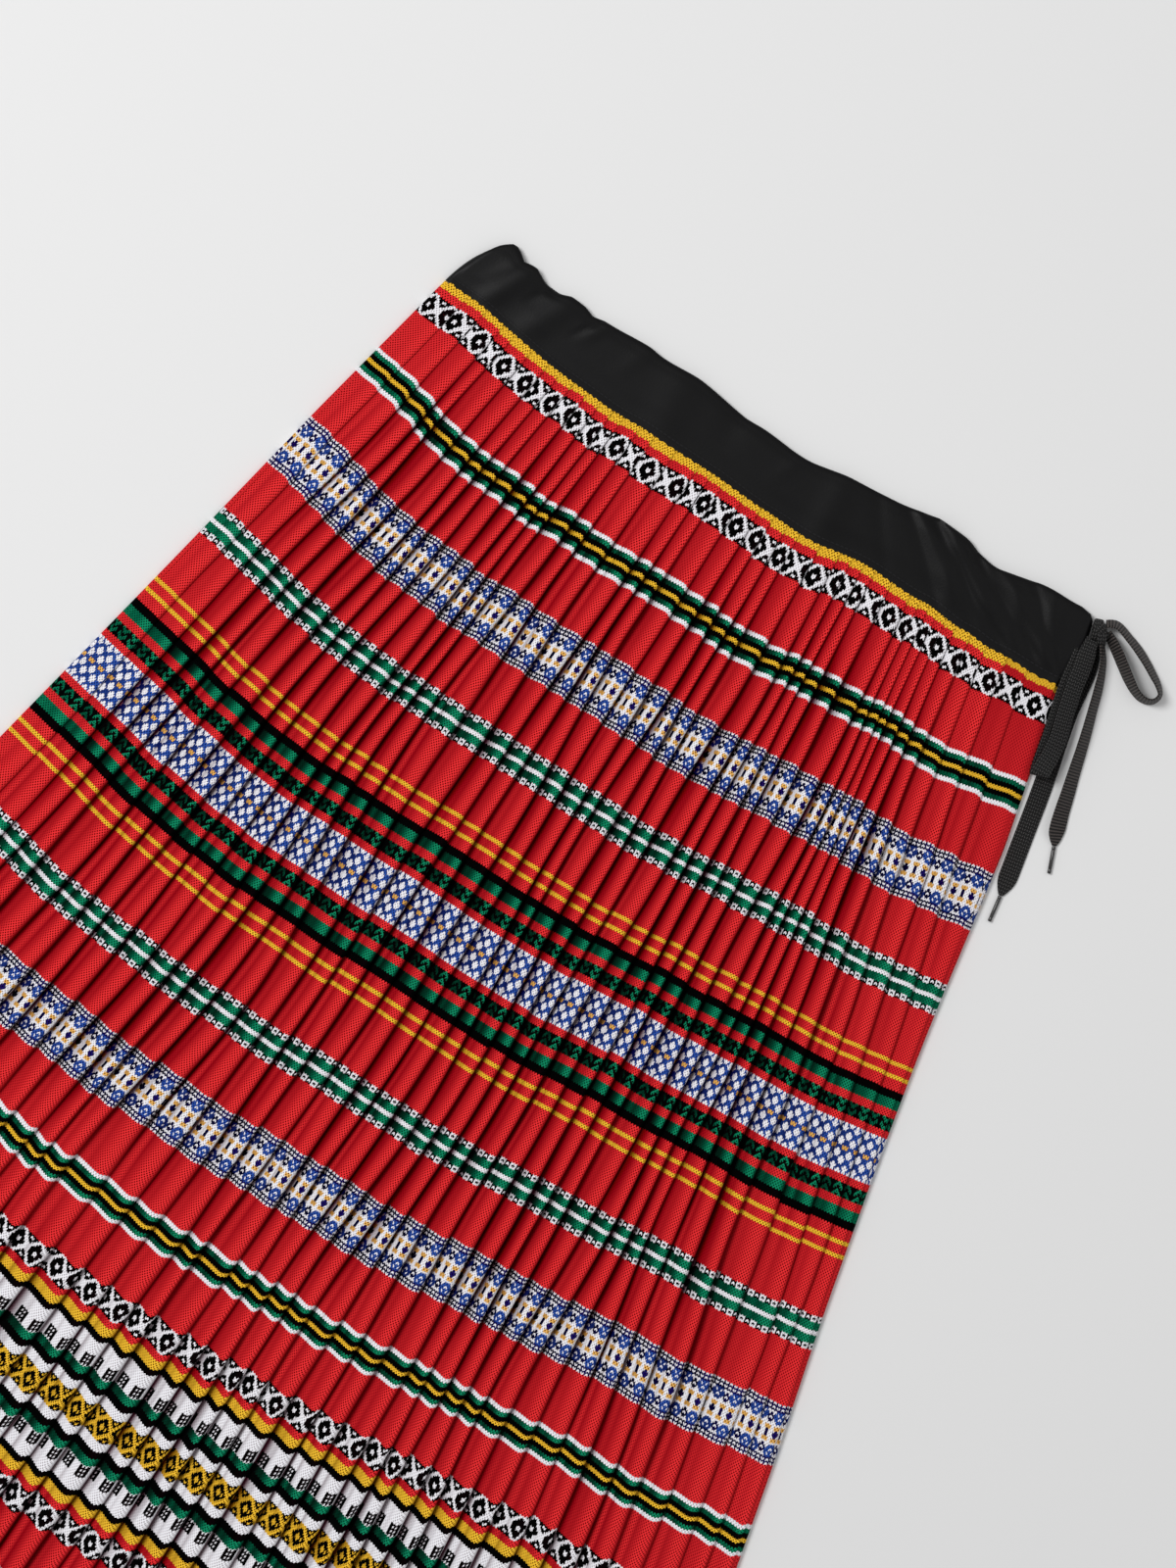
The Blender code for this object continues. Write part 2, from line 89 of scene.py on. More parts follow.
# Each crease, in thousandths of the way across at those distances below the seam, with the
# depth of the pleat that ends at it. The first and last rows are the skirt's two sides.
CREASES = (
    (-4, -1, 0, 0, 0.00),
    (31, 30, 34, 34, 0.25),
    (64, 59, 63, 61, 0.45),
    (96, 85, 85, 83, 0.80),
    (116, 109, 109, 109, 0.95),
    (148, 138, 141, 139, 0.90),
    (178, 167, 171, 169, 1.00),
    (198, 191, 193, 192, 0.95),
    (221, 213, 222, 220, 0.80),
    (245, 241, 252, 242, 0.90),
    (268, 268, 278, 268, 1.00),
    (288, 286, 298, 288, 1.00),
    (305, 307, 326, 311, 1.00),
    (333, 331, 353, 345, 0.95),
    (356, 368, 383, 378, 0.85),
    (392, 400, 408, 405, 0.90),
    (430, 428, 435, 432, 0.90),
    (450, 455, 462, 453, 1.00),
    (472, 482, 490, 483, 1.00),
    (505, 507, 511, 503, 0.80),
    (533, 533, 537, 525, 0.95),
    (555, 550, 558, 544, 1.00),
    (577, 577, 580, 566, 1.00),
    (598, 597, 602, 590, 1.00),
    (631, 621, 619, 615, 0.95),
    (660, 650, 644, 639, 1.00),
    (678, 670, 669, 665, 1.00),
    (696, 693, 691, 684, 1.00),
    (714, 712, 710, 702, 1.00),
    (742, 734, 729, 722, 1.00),
    (773, 760, 756, 741, 0.95),
    (789, 784, 777, 764, 1.00),
    (803, 801, 794, 791, 0.90),
    (817, 818, 812, 818, 0.70),
    (832, 836, 834, 844, 0.85),
    (850, 858, 859, 871, 0.95),
    (874, 882, 887, 897, 1.00),
    (901, 914, 919, 926, 0.60),
    (934, 943, 956, 956, 0.50),
    (968, 972, 979, 978, 0.45),
    (1012, 998, 996, 1000, 0.25),
)

# How full the pleats are. Columns: down, fullness.
FULLNESS = (
    (0.0 * MM, 0.14),
    (28.0 * MM, 0.50),
    (92.0 * MM, 0.95),
    (206.0 * MM, 1.00),
)

# The finer section of a pleat: a long slope, a round ridge and a nearly upright fall. Its cloth
# is painted with shade, dark in the crease and fully lit on the ridge. Columns: share of the pitch,
# height, painted light.
PLEAT_SHAPE = (
    (0.000, 0.00, 0.00),
    (0.050, 0.08, 0.04),
    (0.130, 0.21, 0.11),
    (0.240, 0.38, 0.22),
    (0.370, 0.57, 0.36),
    (0.510, 0.77, 0.62),
    (0.640, 0.93, 0.90),
    (0.760, 1.00, 1.00),
    (0.860, 0.98, 0.98),
    (0.940, 0.86, 0.56),
    (0.985, 0.55, 0.15),
)
RIDGE = 7
RIDGE_SHARE = PLEAT_SHAPE[RIDGE][0]
FRONT_ROWS = 102
BACK_ROWS = 60

# The back's low waves. Columns: share of the pitch, height.
BACK_WAVE = ((0.0, 0.0), (0.22, 0.35), (0.45, 0.75), (0.68, 0.97), (0.85, 0.95), (0.96, 0.55))

# The front's side as it turns down round the back, in millimetres in from the edge and up
SIDE_TURN = ((0.0, 0.0), (0.0, 1.5), (0.25, 2.6), (0.85, 3.5), (1.6, 4.0))
SIDE_TURN_TOP = SIDE_TURN[-1][1]

# The knit's top edge laps over the waistband's seam in small scallops
OVERLAP = 0.9 * MM
SCALLOP = 0.4 * MM
LAP_LEVEL = 5.5 * MM
LAP_WALL = 0.35 * MM

# The waistband, as in the part. Columns: across, then how far the seam drops and the height.
SEAM_DROP = 1
BAND_HEIGHT = 2
BAND_LINE = (
    (0.00, 7.0 * MM, 31.0 * MM),
    (0.06, 4.5 * MM, 34.0 * MM),
    (0.17, 4.3 * MM, 34.5 * MM),
    (0.27, 3.0 * MM, 37.5 * MM),
    (0.35, 0.5 * MM, 39.0 * MM),
    (0.45, -0.5 * MM, 36.0 * MM),
    (0.54, 1.0 * MM, 34.0 * MM),
    (0.61, 2.5 * MM, 38.0 * MM),
    (0.69, 0.0 * MM, 35.5 * MM),
    (0.79, 4.0 * MM, 40.0 * MM),
    (0.86, 8.5 * MM, 37.0 * MM),
    (0.91, 12.0 * MM, 40.0 * MM),
    (1.00, 16.5 * MM, 38.5 * MM),
)
BAND_LEAN = 5.4 * MM

KNOT_ACROSS = 191.4 * MM
KNOT_BELOW_APEX = 840.5 * MM
KNOT_HALF_SIZE = Vector((5.2, 6.4, 4.2)) * MM
BRAID_WALL = 1.3 * MM
FLOOR_CLEARANCE = 0.05 * MM

# The drawstring's routes and widths, in millimetres from the knot's middle. They are the part's,
# but beside the knot they start closer to it and wider. "Tilt" turns the width up from lying
# flat, in degrees. Columns: x, y, lift, width, tilt.
ROUTES = {
    "drawstring_loop_1": (
        (0.6, 5.6, 1.9, 6.0, 50),
        (6.0, 8.0, 1.2, 8.0, 58),
        (15.0, 5.4, 0.5, 9.0, 60),
        (22.5, 2.6, 0.2, 10.0, 60),
        (29.6, -0.9, 0.1, 10.0, 62),
        (35.0, -4.0, 0.0, 10.0, 64),
        (39.5, -6.8, 0.0, 10.0, 68),
        (43.2, -10.8, 0.0, 10.0, 74),
        (41.6, -15.6, 0.0, 10.0, 76),
        (36.5, -17.2, 0.0, 10.0, 74),
        (31.0, -15.6, 0.0, 10.0, 70),
        (25.3, -12.2, 0.1, 10.0, 64),
        (19.0, -7.8, 0.2, 10.0, 62),
        (13.0, -3.6, 0.5, 9.0, 58),
        (8.4, -0.6, 1.0, 7.0, 50),
        (3.6, 2.0, 1.5, 5.0, 40),
    ),
    "drawstring_end_1": (
        (2.6, -2.0, 1.4, 5.0, 60),
        (6.9, -7.6, 0.8, 7.0, 64),
        (10.4, -13.0, 0.2, 8.5, 64),
        (14.6, -23.7, 0.0, 10.0, 60),
        (18.2, -35.5, 0.0, 10.0, 58),
        (21.8, -47.3, 0.0, 10.0, 54),
        (24.8, -58.2, 0.0, 10.0, 50),
        (27.4, -68.2, 0.0, 10.0, 46),
        (30.1, -77.9, 0.0, 10.0, 40),
        (32.7, -87.9, 0.0, 10.0, 34),
        (35.4, -96.4, 0.0, 9.6, 26),
        (37.4, -101.2, 0.0, 6.0, 16),
        (38.6, -104.2, 0.2, 2.2, 0),
    ),
    "drawstring_loop_2": (
        (-2.0, -4.9, 3.2, 6.5, 0),
        (-2.0, -11.0, 3.0, 9.0, 8),
        (-0.8, -21.0, 3.0, 10.0, 16),
        (0.9, -32.8, 3.1, 10.0, 18),
        (4.2, -45.8, 3.1, 10.0, 18),
        (7.1, -56.9, 3.1, 10.0, 18),
        (9.4, -67.0, 3.4, 10.0, 14),
        (11.0, -73.0, 4.2, 10.0, 4),
        (11.9, -76.4, 4.6, 10.0, 0),
        (12.4, -78.0, 6.4, 10.0, 0),
        (12.2, -76.4, 8.2, 10.0, 0),
        (12.0, -72.0, 7.8, 10.0, 2),
        (12.0, -66.0, 6.0, 10.0, 10),
        (10.8, -56.9, 4.7, 10.0, 16),
        (7.7, -45.8, 4.6, 10.0, 18),
        (4.4, -32.8, 4.6, 10.0, 18),
        (2.3, -21.0, 4.7, 10.0, 14),
        (0.2, -11.5, 5.2, 8.6, 6),
        (-0.8, -5.4, 5.2, 6.0, 0),
    ),
    "drawstring_end_2": (
        (1.6, -5.6, 0.6, 4.0, 0),
        (4.0, -13.0, 0.2, 8.0, 0),
        (5.6, -21.5, 0.0, 10.0, 0),
        (8.4, -41.5, 0.0, 10.0, 0),
        (12.0, -58.0, 0.0, 10.0, 0),
        (15.0, -70.0, 0.0, 10.0, 0),
        (17.3, -80.5, 0.0, 10.0, 0),
        (19.3, -90.0, 0.0, 10.0, 0),
        (21.6, -101.5, 0.0, 10.0, 0),
        (23.9, -113.0, 0.0, 10.0, 0),
        (26.2, -124.5, 0.0, 10.0, 0),
        (27.6, -132.0, 0.0, 9.6, 0),
        (28.4, -137.0, 0.0, 6.0, 0),
        (28.9, -140.2, 0.2, 2.2, 0),
    ),
}
AGLET_RADIUS = 1.0 * MM
AGLET_LENGTH = 14.0 * MM
AGLET_GAP = 0.3 * MM

# A tip's section with its crimped rings, as shares of its length and radius
AGLET_PROFILE = (
    (0.0, 0.0), (0.0, 0.86), (0.02, 1.0), (0.10, 1.0), (0.12, 0.90), (0.15, 0.90), (0.17, 1.0),
    (0.50, 0.97), (0.80, 0.95), (0.83, 0.86), (0.86, 0.86), (0.89, 0.95), (0.98, 0.95), (1.0, 0.80),
    (1.0, 0.0),
)

# The knot's core as a share of its size, and the braid wound over it. Columns: turn, tip, size,
# half the width and shift in millimetres.
KNOT_CORE = 0.74
KNOT_WINDINGS = (
    (20, 90, 0.80, 3.4, (0.0, 0.0, -0.2)),
    (20, 0, 0.92, 2.3, (-1.6, 0.6, 0.0)),
    (28, 0, 0.96, 2.3, (1.7, -0.4, 0.1)),
    (75, 12, 1.0, 2.0, (0.3, 1.2, 0.3)),
)

# The knit's stitches. Every pleat's ridge lies at the same stitch of the charts, except of the
# diamonds, which are knitted larger and run on past the pleats.
STITCH = 0.82
NARROW_CHART = 8
WIDE_CHART = 12
PLEAT_STITCHES = 24
RIDGE_STITCH = 4
DIAMOND_SCALE = 0.8

# How far the stripes lie below their even places, in millimetres, at seven distances down the
# cloth: the cloth was stretched unevenly when it was pleated. Columns: across, then each one.
SLIP_STATIONS = (0.0, 24.0, 60.0, 175.0, 268.0, 400.0, 570.0)
SLIP = (
    (0.00, -3.0, -1.5, -2.5, 1.0, 1.2, 4.0, 4.0),
    (0.08, -3.0, -1.5, 0.2, 2.6, 2.5, 5.0, 4.5),
    (0.14, -3.0, -1.3, 3.2, 5.2, 3.9, 5.9, 5.0),
    (0.25, -3.0, -1.3, 3.5, 5.1, 4.1, 5.0, 4.5),
    (0.36, -3.0, -1.3, 3.2, 3.8, 1.4, 3.3, 2.3),
    (0.47, -3.0, -1.3, 2.7, 2.1, 0.1, 0.8, 1.0),
    (0.58, -3.0, -1.3, 3.1, 2.7, 0.0, 0.0, -1.4),
    (0.69, -3.0, -1.3, 4.4, 4.0, -1.0, -1.5, -2.3),
    (0.81, -3.0, -1.3, 3.3, 3.4, -0.3, -1.2, -2.3),
    (0.92, -3.0, -1.3, 4.2, 6.8, 3.2, 2.6, 1.3),
    (1.00, -3.0, -1.3, 3.0, 6.5, 3.6, 4.2, 3.5),
)

# The pattern repeats mirrored about two rows of stitches, in millimetres down the cloth
MIRROR_1 = 268.0
MIRROR_2 = 573.0

# Colours of the yarns, by the letters that the charts use
YARNS = {
    "R": (0.880, 0.043, 0.042),
    "Y": (0.980, 0.580, 0.045),
    "K": (0.007, 0.007, 0.007),
    "G": (0.010, 0.270, 0.130),
    "W": (0.930, 0.930, 0.970),
    "B": (0.030, 0.095, 0.400),
    "N": (0.014, 0.016, 0.120),
    "O": (0.880, 0.490, 0.120),
}

# What the yarns' colours are multiplied by in a pin hole, and by painted shade deep in a crease,
# and a little that is taken off them all, which makes the painted shade deeper in colour
HOLE_TINT = (0.13, 0.08, 0.08)
CREASE_SHADE = (0.06, 0.0, 0.01)
SHADE_DEEPENING = (0.004, 0.011, 0.006)

# How steep the V of a stitch is, and how many courses one ramp holds
TOOTH = 1.5
RAMP_STEPS = 32

# The charts, in millimetres from the first mirror row. Each line of letters is one course of
# stitches, from the chart's start on, and repeats every eight or twelve stitches. Some charts
# are mirrored about a row of their own. The charts of twelve stitches come last.
# Columns: the row that the chart is mirrored about, its start from there, its height, courses.
CHARTS = {
    "checker": (None, 0.0, 13.0, """
        OOBBBBOO
        BBBWWBBB
        BBWWWWBB
        BBWWWWBB
        WBBWWBBW
        WWBBBBWW
        WWBBBBWW
        WBBBBBBW
        BBBWWBBB
        BBWWWWBB
        WBBWWBBW
        WWBWWBWW"""),
    "zigzag": (None, 17.0, 7.5, """
        KKKGGKKK
        KKGGGGKK
        KGGKKGGK
        KGKKKKGK
        KKKGGKKK
        KKGGGGKK
        KGGKKGGK"""),
    "green_band": (94.75, 0.0, 8.75, """
        WWWWWWWW
        GGGGGGGG
        GGGGGGGG
        GGGGGGGG
        GGGGGGGG
        KKWWWWKK
        WKWKKWKW
        KKWWWWKK"""),
    "diamonds": (250.625, 0.0, 6.625, """
        KKKWWKKKWWWW
        KKKKKKKWWWWW
        WKKKKKWWWKKW
        WWKKKKWWKKKK
        KWWKKWWKKWWK
        KKWWWWKKKKKK"""),
    "ladder": (None, 277.25, 6.75, 3 * """
        WKKKKKKKWWWW
        WKKWKWKKWWWW"""),
    "blue_band": (150.25, 0.0, 15.75, """
        WWNNNNWWWNNW
        WWWNNWWWWNNW
        WWOOOOWWOOOO
        WWOOOOWWOOOO
        WWWWWWWWWWWW
        WWBBBBWWWNNW
        WBBBBBBWNNNN
        BBBWWBBBNWWN
        BBBBBBBBNNNN
        BBWBBWBBWNNW
        WBBBBBBWWWWW
        NNNNNNNNNNNN
        WWNWWNWWNWWN
        NNNNNNNNNNNN
        WWNWWNWWNWWN"""),
    "lattice": (None, 298.0, 7.05, """
        YKKKKKKKYYYY
        YYKKYYKKYYYY
        YYYKKKKYYYKK
        KYYYKKYYYKKK
        KKYYYYYYKKKK
        KKKYYYYKKKYK
        KYKKYYKKKYYY"""),
}

# Plain stripes: where the first starts, their colours, and where each ends, in millimetres
STRIPES = (
    (24.5, "RGKRYRY", (29.0, 34.5, 39.0, 45.2, 47.4, 52.1, 54.3)),
    (198.5, "WGKYKGW", (200.8, 203.4, 206.2, 208.2, 211.0, 213.4, 215.5)),
    (257.25, "RYKWWGKW", (261.0, 266.0, 269.75, 277.25, 284.0, 288.5, 293.0, 298.0)),
)

# A wide pleat has a second, lower ridge on its long slope, with a trough after it. The ridge gets
# painted light and the trough painted shade.
SECOND_RIDGE_AT = 0.22
TROUGH_AT = 0.42
TROUGH_HALF_WIDTH = 0.10
TROUGH_SHADE = 0.50
TROUGH_DEPTH = 0.55 * MM
NARROW_PITCH = 10.5 * MM
WIDE_PITCH = 15.0 * MM

# How much lower a course of stitches lies on a ridge than half way to the creases. Columns:
# down, then that drop in millimetres.
COURSE_WAVE = (
    (0.0 * MM, -0.2),
    (90.0 * MM, -0.5),
    (300.0 * MM, 0.0),
    (420.0 * MM, 0.3),
    (480.0 * MM, 0.8),
    (540.0 * MM, 1.25),
)

# How much softer the pleats are low down, most of all at the left: lower, and with less painted
# shade. Columns: down, softness.
LEFT_SOFTNESS = 0.6
LOW_SOFTNESS = (
    (420.0 * MM, 0.0),
    (470.0 * MM, 0.35),
    (505.0 * MM, 0.35),
    (535.0 * MM, 0.05),
)

# Painted shade: how dark the last two pleats are made at the waist's right end, and how far down
# that fades
END_SHADE = 0.45
END_SHADE_FADE = 110.0 * MM

# The share of a pleat's own slant that its courses keep at right angles to it, and how far up and
# down the slant is measured
COURSE_LEAN = 0.3
LEAN_STEP = 4 * MM

# Painted shade: how much of the painted light the cloth keeps at the skirt's two sides, where it
# turns down, and next to them
SIDE_PAINTED_LIGHT = 0.8
EDGE_PAINTED_LIGHT = 0.9

# How the pleats differ from one another, by chance
PLEATS = len(CREASES) - 1
CHANCE = np.random.default_rng(11)
DRIFT = CHANCE.uniform(-1.2, 1.2, PLEATS)
STEP_PHASE = CHANCE.uniform(0, math.tau, PLEATS)
SWELL_PHASE = CHANCE.uniform(0, math.tau, PLEATS)
WANDER_PHASE = CHANCE.uniform(0, math.tau, PLEATS + 1)

# Slow waves down the cloth. Columns: size, and the millimetres in which it turns by one radian.
CREASE_SWAY = (0.45 * MM, 21)
SLOW_SWAY = (0.45 * MM, 47)
HEIGHT_SWAY = (0.15, 31)
RIDGE_SWAY = (0.06, 38)
TROUGH_SWAY = (0.4, 43)
SHADE_SWAY = (0.10, 29)
COURSE_SWAY = (0.6, 60)

# The waistband's section, as in the part. Columns: up, rise.
BAND_SHAPE = (
    (0.00, 0.5 * MM),
    (0.14, 0.1 * MM),
    (0.45, 1.0 * MM),
    (0.80, 1.1 * MM),
    (0.95, 0.5 * MM),
    (1.00, -0.1 * MM),
)

# The part's soft folds, of which the last four are lower here, because finer creases lie on them.
# Columns: across, slant, half width, height.
BAND_FOLDS = (
    (0.055, 0.010, 0.016, 1.0 * MM),
    (0.125, 0.015, 0.020, 0.8 * MM),
    (0.340, -0.030, 0.030, 0.6 * MM),
    (0.610, -0.020, 0.022, 0.6 * MM),
    (0.800, -0.045, 0.018, 0.7 * MM),
    (0.860, -0.050, 0.014, 0.4 * MM),
    (0.910, -0.045, 0.013, 0.5 * MM),
    (0.960, -0.030, 0.012, 0.7 * MM),
)
BAND_LEVEL = 4.5 * MM
BAND_WALL = 2.0 * MM
CASING = 0.9 * MM
END_PUFF = 2.4 * MM
SEAM_WIDTH = 375.0 * MM
BAND_STEPS = 240
BACK_BAND_STEPS = 90

# How the casing turns down at its ends and over its top edge, in millimetres: inset and height,
# then out and drop
END_TURN = ((0.0, 0.0), (0.0, 1.6), (0.15, 2.8), (0.6, 3.9), (1.3, 4.7))
TOP_TURN = ((0.3, 0.35), (0.55, 0.9), (0.6, 1.7), (0.5, 2.2))

# Finer creases of the slack jersey: each starts at a height of the band and deepens upwards.
# Columns: across, slant, half width, height, where it starts.
BAND_CREASES = (
    (0.030, 0.020, 0.010, 0.9 * MM, 0.30),
    (0.088, 0.020, 0.007, -1.2 * MM, 0.45),
    (0.166, 0.028, 0.004, -1.2 * MM, 0.50),
    (0.180, 0.028, 0.010, 0.7 * MM, 0.45),
    (0.255, 0.010, 0.014, 0.4 * MM, 0.30),
    (0.430, -0.020, 0.020, -0.6 * MM, 0.25),
    (0.520, 0.020, 0.012, 0.4 * MM, 0.35),
    (0.690, -0.080, 0.012, -0.5 * MM, -0.50),
    (0.760, -0.120, 0.012, -1.0 * MM, -0.60),
    (0.790, -0.150, 0.014, 0.8 * MM, -0.80),
    (0.835, -0.200, 0.012, -1.1 * MM, -0.80),
    (0.865, -0.200, 0.015, 0.9 * MM, -0.90),
    (0.905, -0.180, 0.011, -1.0 * MM, -0.90),
    (0.935, -0.150, 0.012, 0.9 * MM, -0.90),
    (0.962, -0.110, 0.008, -0.9 * MM, -0.90),
)

# How far the band's top edge puffs out beyond its plain line. Columns: across, out.
BAND_EDGE = (
    (-0.0064, -6.0 * MM),
    (-0.0045, -3.2 * MM),
    (0.000, 0.4 * MM),
    (0.005, 2.8 * MM),
    (0.012, 5.0 * MM),
    (0.020, 4.8 * MM),
    (0.028, 2.8 * MM),
    (0.042, -1.6 * MM),
    (0.062, -0.8 * MM),
    (0.086, -3.8 * MM),
    (0.110, -3.1 * MM),
    (0.126, -0.2 * MM),
    (0.150, 0.1 * MM),
    (0.167, -1.3 * MM),
    (0.182, 0.5 * MM),
    (0.260, 0.6 * MM),
    (0.323, -1.2 * MM),
    (0.431, -2.8 * MM),
    (0.500, -1.2 * MM),
    (0.563, 0.0 * MM),
    (0.686, 0.8 * MM),
    (0.746, 2.6 * MM),
    (0.817, -2.2 * MM),
    (0.881, -0.3 * MM),
    (0.941, 1.7 * MM),
    (0.985, 3.0 * MM),
    (1.000, 1.4 * MM),
    (1.0064, -2.0 * MM),
)
STITCHES_UP = 4.2
STITCH_PITCH = 2.6


def between(table, where, column=1):
    """Read a column of a table at a place between its rows, easing from row to row."""
    if where <= table[0][0]:
        return table[0][column]
    for low, high in zip(table, table[1:]):
        if where <= high[0]:
            share = (where - low[0]) / (high[0] - low[0])
            eased = share * share * (3 - 2 * share)
            return low[column] + (high[column] - low[column]) * eased
    return table[-1][column]


def smooth_between(places, values, where):
    """Read a value between known ones, on one smooth curve through them all."""
    last = len(places) - 1
    where = min(max(where, places[0]), places[-1])
    number = next(n for n in range(last) if where <= places[n + 1])
    slopes = []
    for n in (number, number + 1):
        low, high = max(n - 1, 0), min(n + 1, last)
        slopes.append((values[high] - values[low]) / (places[high] - places[low]))
    span = places[number + 1] - places[number]
    t = (where - places[number]) / span
    return (
        values[number] * (1 + 2 * t) * (1 - t) ** 2
        + values[number + 1] * t * t * (3 - 2 * t)
        + slopes[0] * span * t * (1 - t) ** 2
        - slopes[1] * span * t * t * (1 - t)
    )


def fan_point(arc, radius, height):
    """A point that lies an arc's length off the skirt's middle, at a radius from the apex."""
    angle = arc / radius
    return (radius * math.sin(angle), APEX_Y - radius * math.cos(angle), height)


def cloth_radius(across, down):
    """The radius of a row of the cloth, which hangs lower near the waist's right end."""
    sag = between(BAND_LINE, across, SEAM_DROP)
    return SEAM_RADIUS + down + sag * math.exp(-down / SAG_FADE)


def crease_places(down):
    """Where every crease is at a distance below the seam, as shares of the way across."""
    last = len(CREASES) - 1
    stations = CREASE_STATIONS + (CLOTH_LENGTH,)
    places = []
    for number, row in enumerate(CREASES):
        shares = [value / 1000 for value in row[:4]]
        hem_share = shares[-1] + (number / last - shares[-1]) * HEM_EVENING
        places.append(smooth_between(stations, shares + [hem_share], down))
    return places


HEM_PLACES = crease_places(CLOTH_LENGTH)
HEM_WIDTH = 2 * HALF_ANGLE * (SEAM_RADIUS + CLOTH_LENGTH)


def pleat_height(number, pitch, fullness):
    """How tall a pleat stands, from the cloth in it and the room that it has."""
    hem_pitch = (HEM_PLACES[number + 1] - HEM_PLACES[number]) * HEM_WIDTH
    cloth = PLEAT_CLOTH * max(hem_pitch, pitch)
    standing = math.sqrt(max(cloth**2 - pitch**2, (FLATTEST * cloth) ** 2)) / 2
    tallest = min(standing * PLEAT_ROUNDING, PLEAT_STEEPNESS * pitch, PLEAT_LIMIT)
    return tallest * fullness * CREASES[number + 1][-1]


def stripe_slip(across, down):
    """How far below its even place a stripe lies, in millimetres."""
    return between([(row[0], smooth_between(SLIP_STATIONS, row[1:], down / MM)) for row in SLIP], across)


def read(table, where):
    """Read a two-column table along straight lines between its rows."""
    return float(np.interp(where, [row[0] for row in table], [row[1] for row in table]))


def soft_ridge(t, middle):
    """A soft rise from 0 to 1 and back about a place on a pleat."""
    return math.exp(-(((t - middle) / TROUGH_HALF_WIDTH) ** 2))


def course_wave(t, swing):
    """How much lower a course lies at a share of a pleat, from crease to ridge to crease."""
    off = (t - RIDGE_SHARE) / (RIDGE_SHARE if t < RIDGE_SHARE else 1 - RIDGE_SHARE)
    return swing * math.cos(math.pi * off)


def limited(value):
    """A value kept between 0 and 1."""
    return min(max(value, 0.0), 1.0)


def cloth_mesh(name, points, faces, cloth):
    """A mesh whose points carry their cloth coordinates."""
    mesh = bpy.data.meshes.new(name)
    mesh.from_pydata(points, [], faces)
    mesh.update()
    place = mesh.attributes.new("cloth", "FLOAT_VECTOR", "POINT")
    place.data.foreach_set("vector", np.array(cloth, np.float32).ravel())
    return mesh


def smooth_object(mesh, sharp_angle):
    """An object of a mesh, with soft shading except along edges that turn by more than an angle."""
    mesh.shade_smooth()
    mesh.set_sharp_from_angle(angle=math.radians(sharp_angle))
    piece = bpy.data.objects.new(mesh.name, mesh)
    bpy.context.scene.collection.objects.link(piece)
    return piece


def shell(name, grid, uv_split=0.86, margin=0.003):
    """A closed thin shell. Each of the grid's points is an outer, an inner and a cloth place."""
    outer, inner, cloth = np.moveaxis(np.array(grid), 2, 0)
    rows, columns = outer.shape[:2]
    count = rows * columns
    number = np.arange(count).reshape(rows, columns)
    quads = np.stack(
        [number[:-1, :-1], number[:-1, 1:], number[1:, 1:], number[1:, :-1]], axis=-1
    ).reshape(-1, 4)
    rim = np.concatenate(
        [number[0, :], number[1:, -1], number[-1, -2::-1], number[-2:0:-1, 0]]
    )
    after = np.roll(rim, -1)
    sides = np.stack([after, rim, rim + count, after + count], axis=-1)
    faces = np.concatenate([quads, quads[:, ::-1] + count, sides])
    points = np.concatenate([outer, inner]).reshape(-1, 3)
    mesh = cloth_mesh(name, points.tolist(), faces.tolist(), np.concatenate([cloth, cloth]))
    across = np.linspace(margin, 1 - margin, columns)
    along = np.linspace(margin, uv_split - margin, rows)
    below = np.linspace(uv_split + margin, 1 - margin, rows)
    flat = np.zeros((2 * count, 2), np.float32)
    flat[:count, 0] = flat[count:, 0] = np.tile(across, rows)
    flat[:count, 1] = np.repeat(along, columns)
    flat[count:, 1] = np.repeat(below, columns)
    corners = np.empty(len(mesh.loops), np.int32)
    mesh.loops.foreach_get("vertex_index", corners)
    layer = mesh.uv_layers.new(name="OFBake")
    layer.data.foreach_set("uv", flat[corners].ravel())
    return smooth_object(mesh, 50)


def dress(piece, material, slot, *nodes):
    """Give a piece its material and its place on the body, in the stead of its CAD nodes."""
    piece.data.materials.append(material)
    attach(piece, "root")
    if nodes:
        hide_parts(*nodes)
    return piece


def sway(wave, down, phase):
    """A slow wave down the cloth, of a size and a reach."""
    size, reach = wave
    return size * math.sin(down / MM / reach + phase)


def wander(n, down):
    """How far a crease wanders sideways. The skirt's two sides don't."""
    if n in (0, PLEATS):
        return 0.0
    phase = WANDER_PHASE[n]
    return between(FULLNESS, down) * (sway(CREASE_SWAY, down, phase) + sway(SLOW_SWAY, down, 2 * phase))


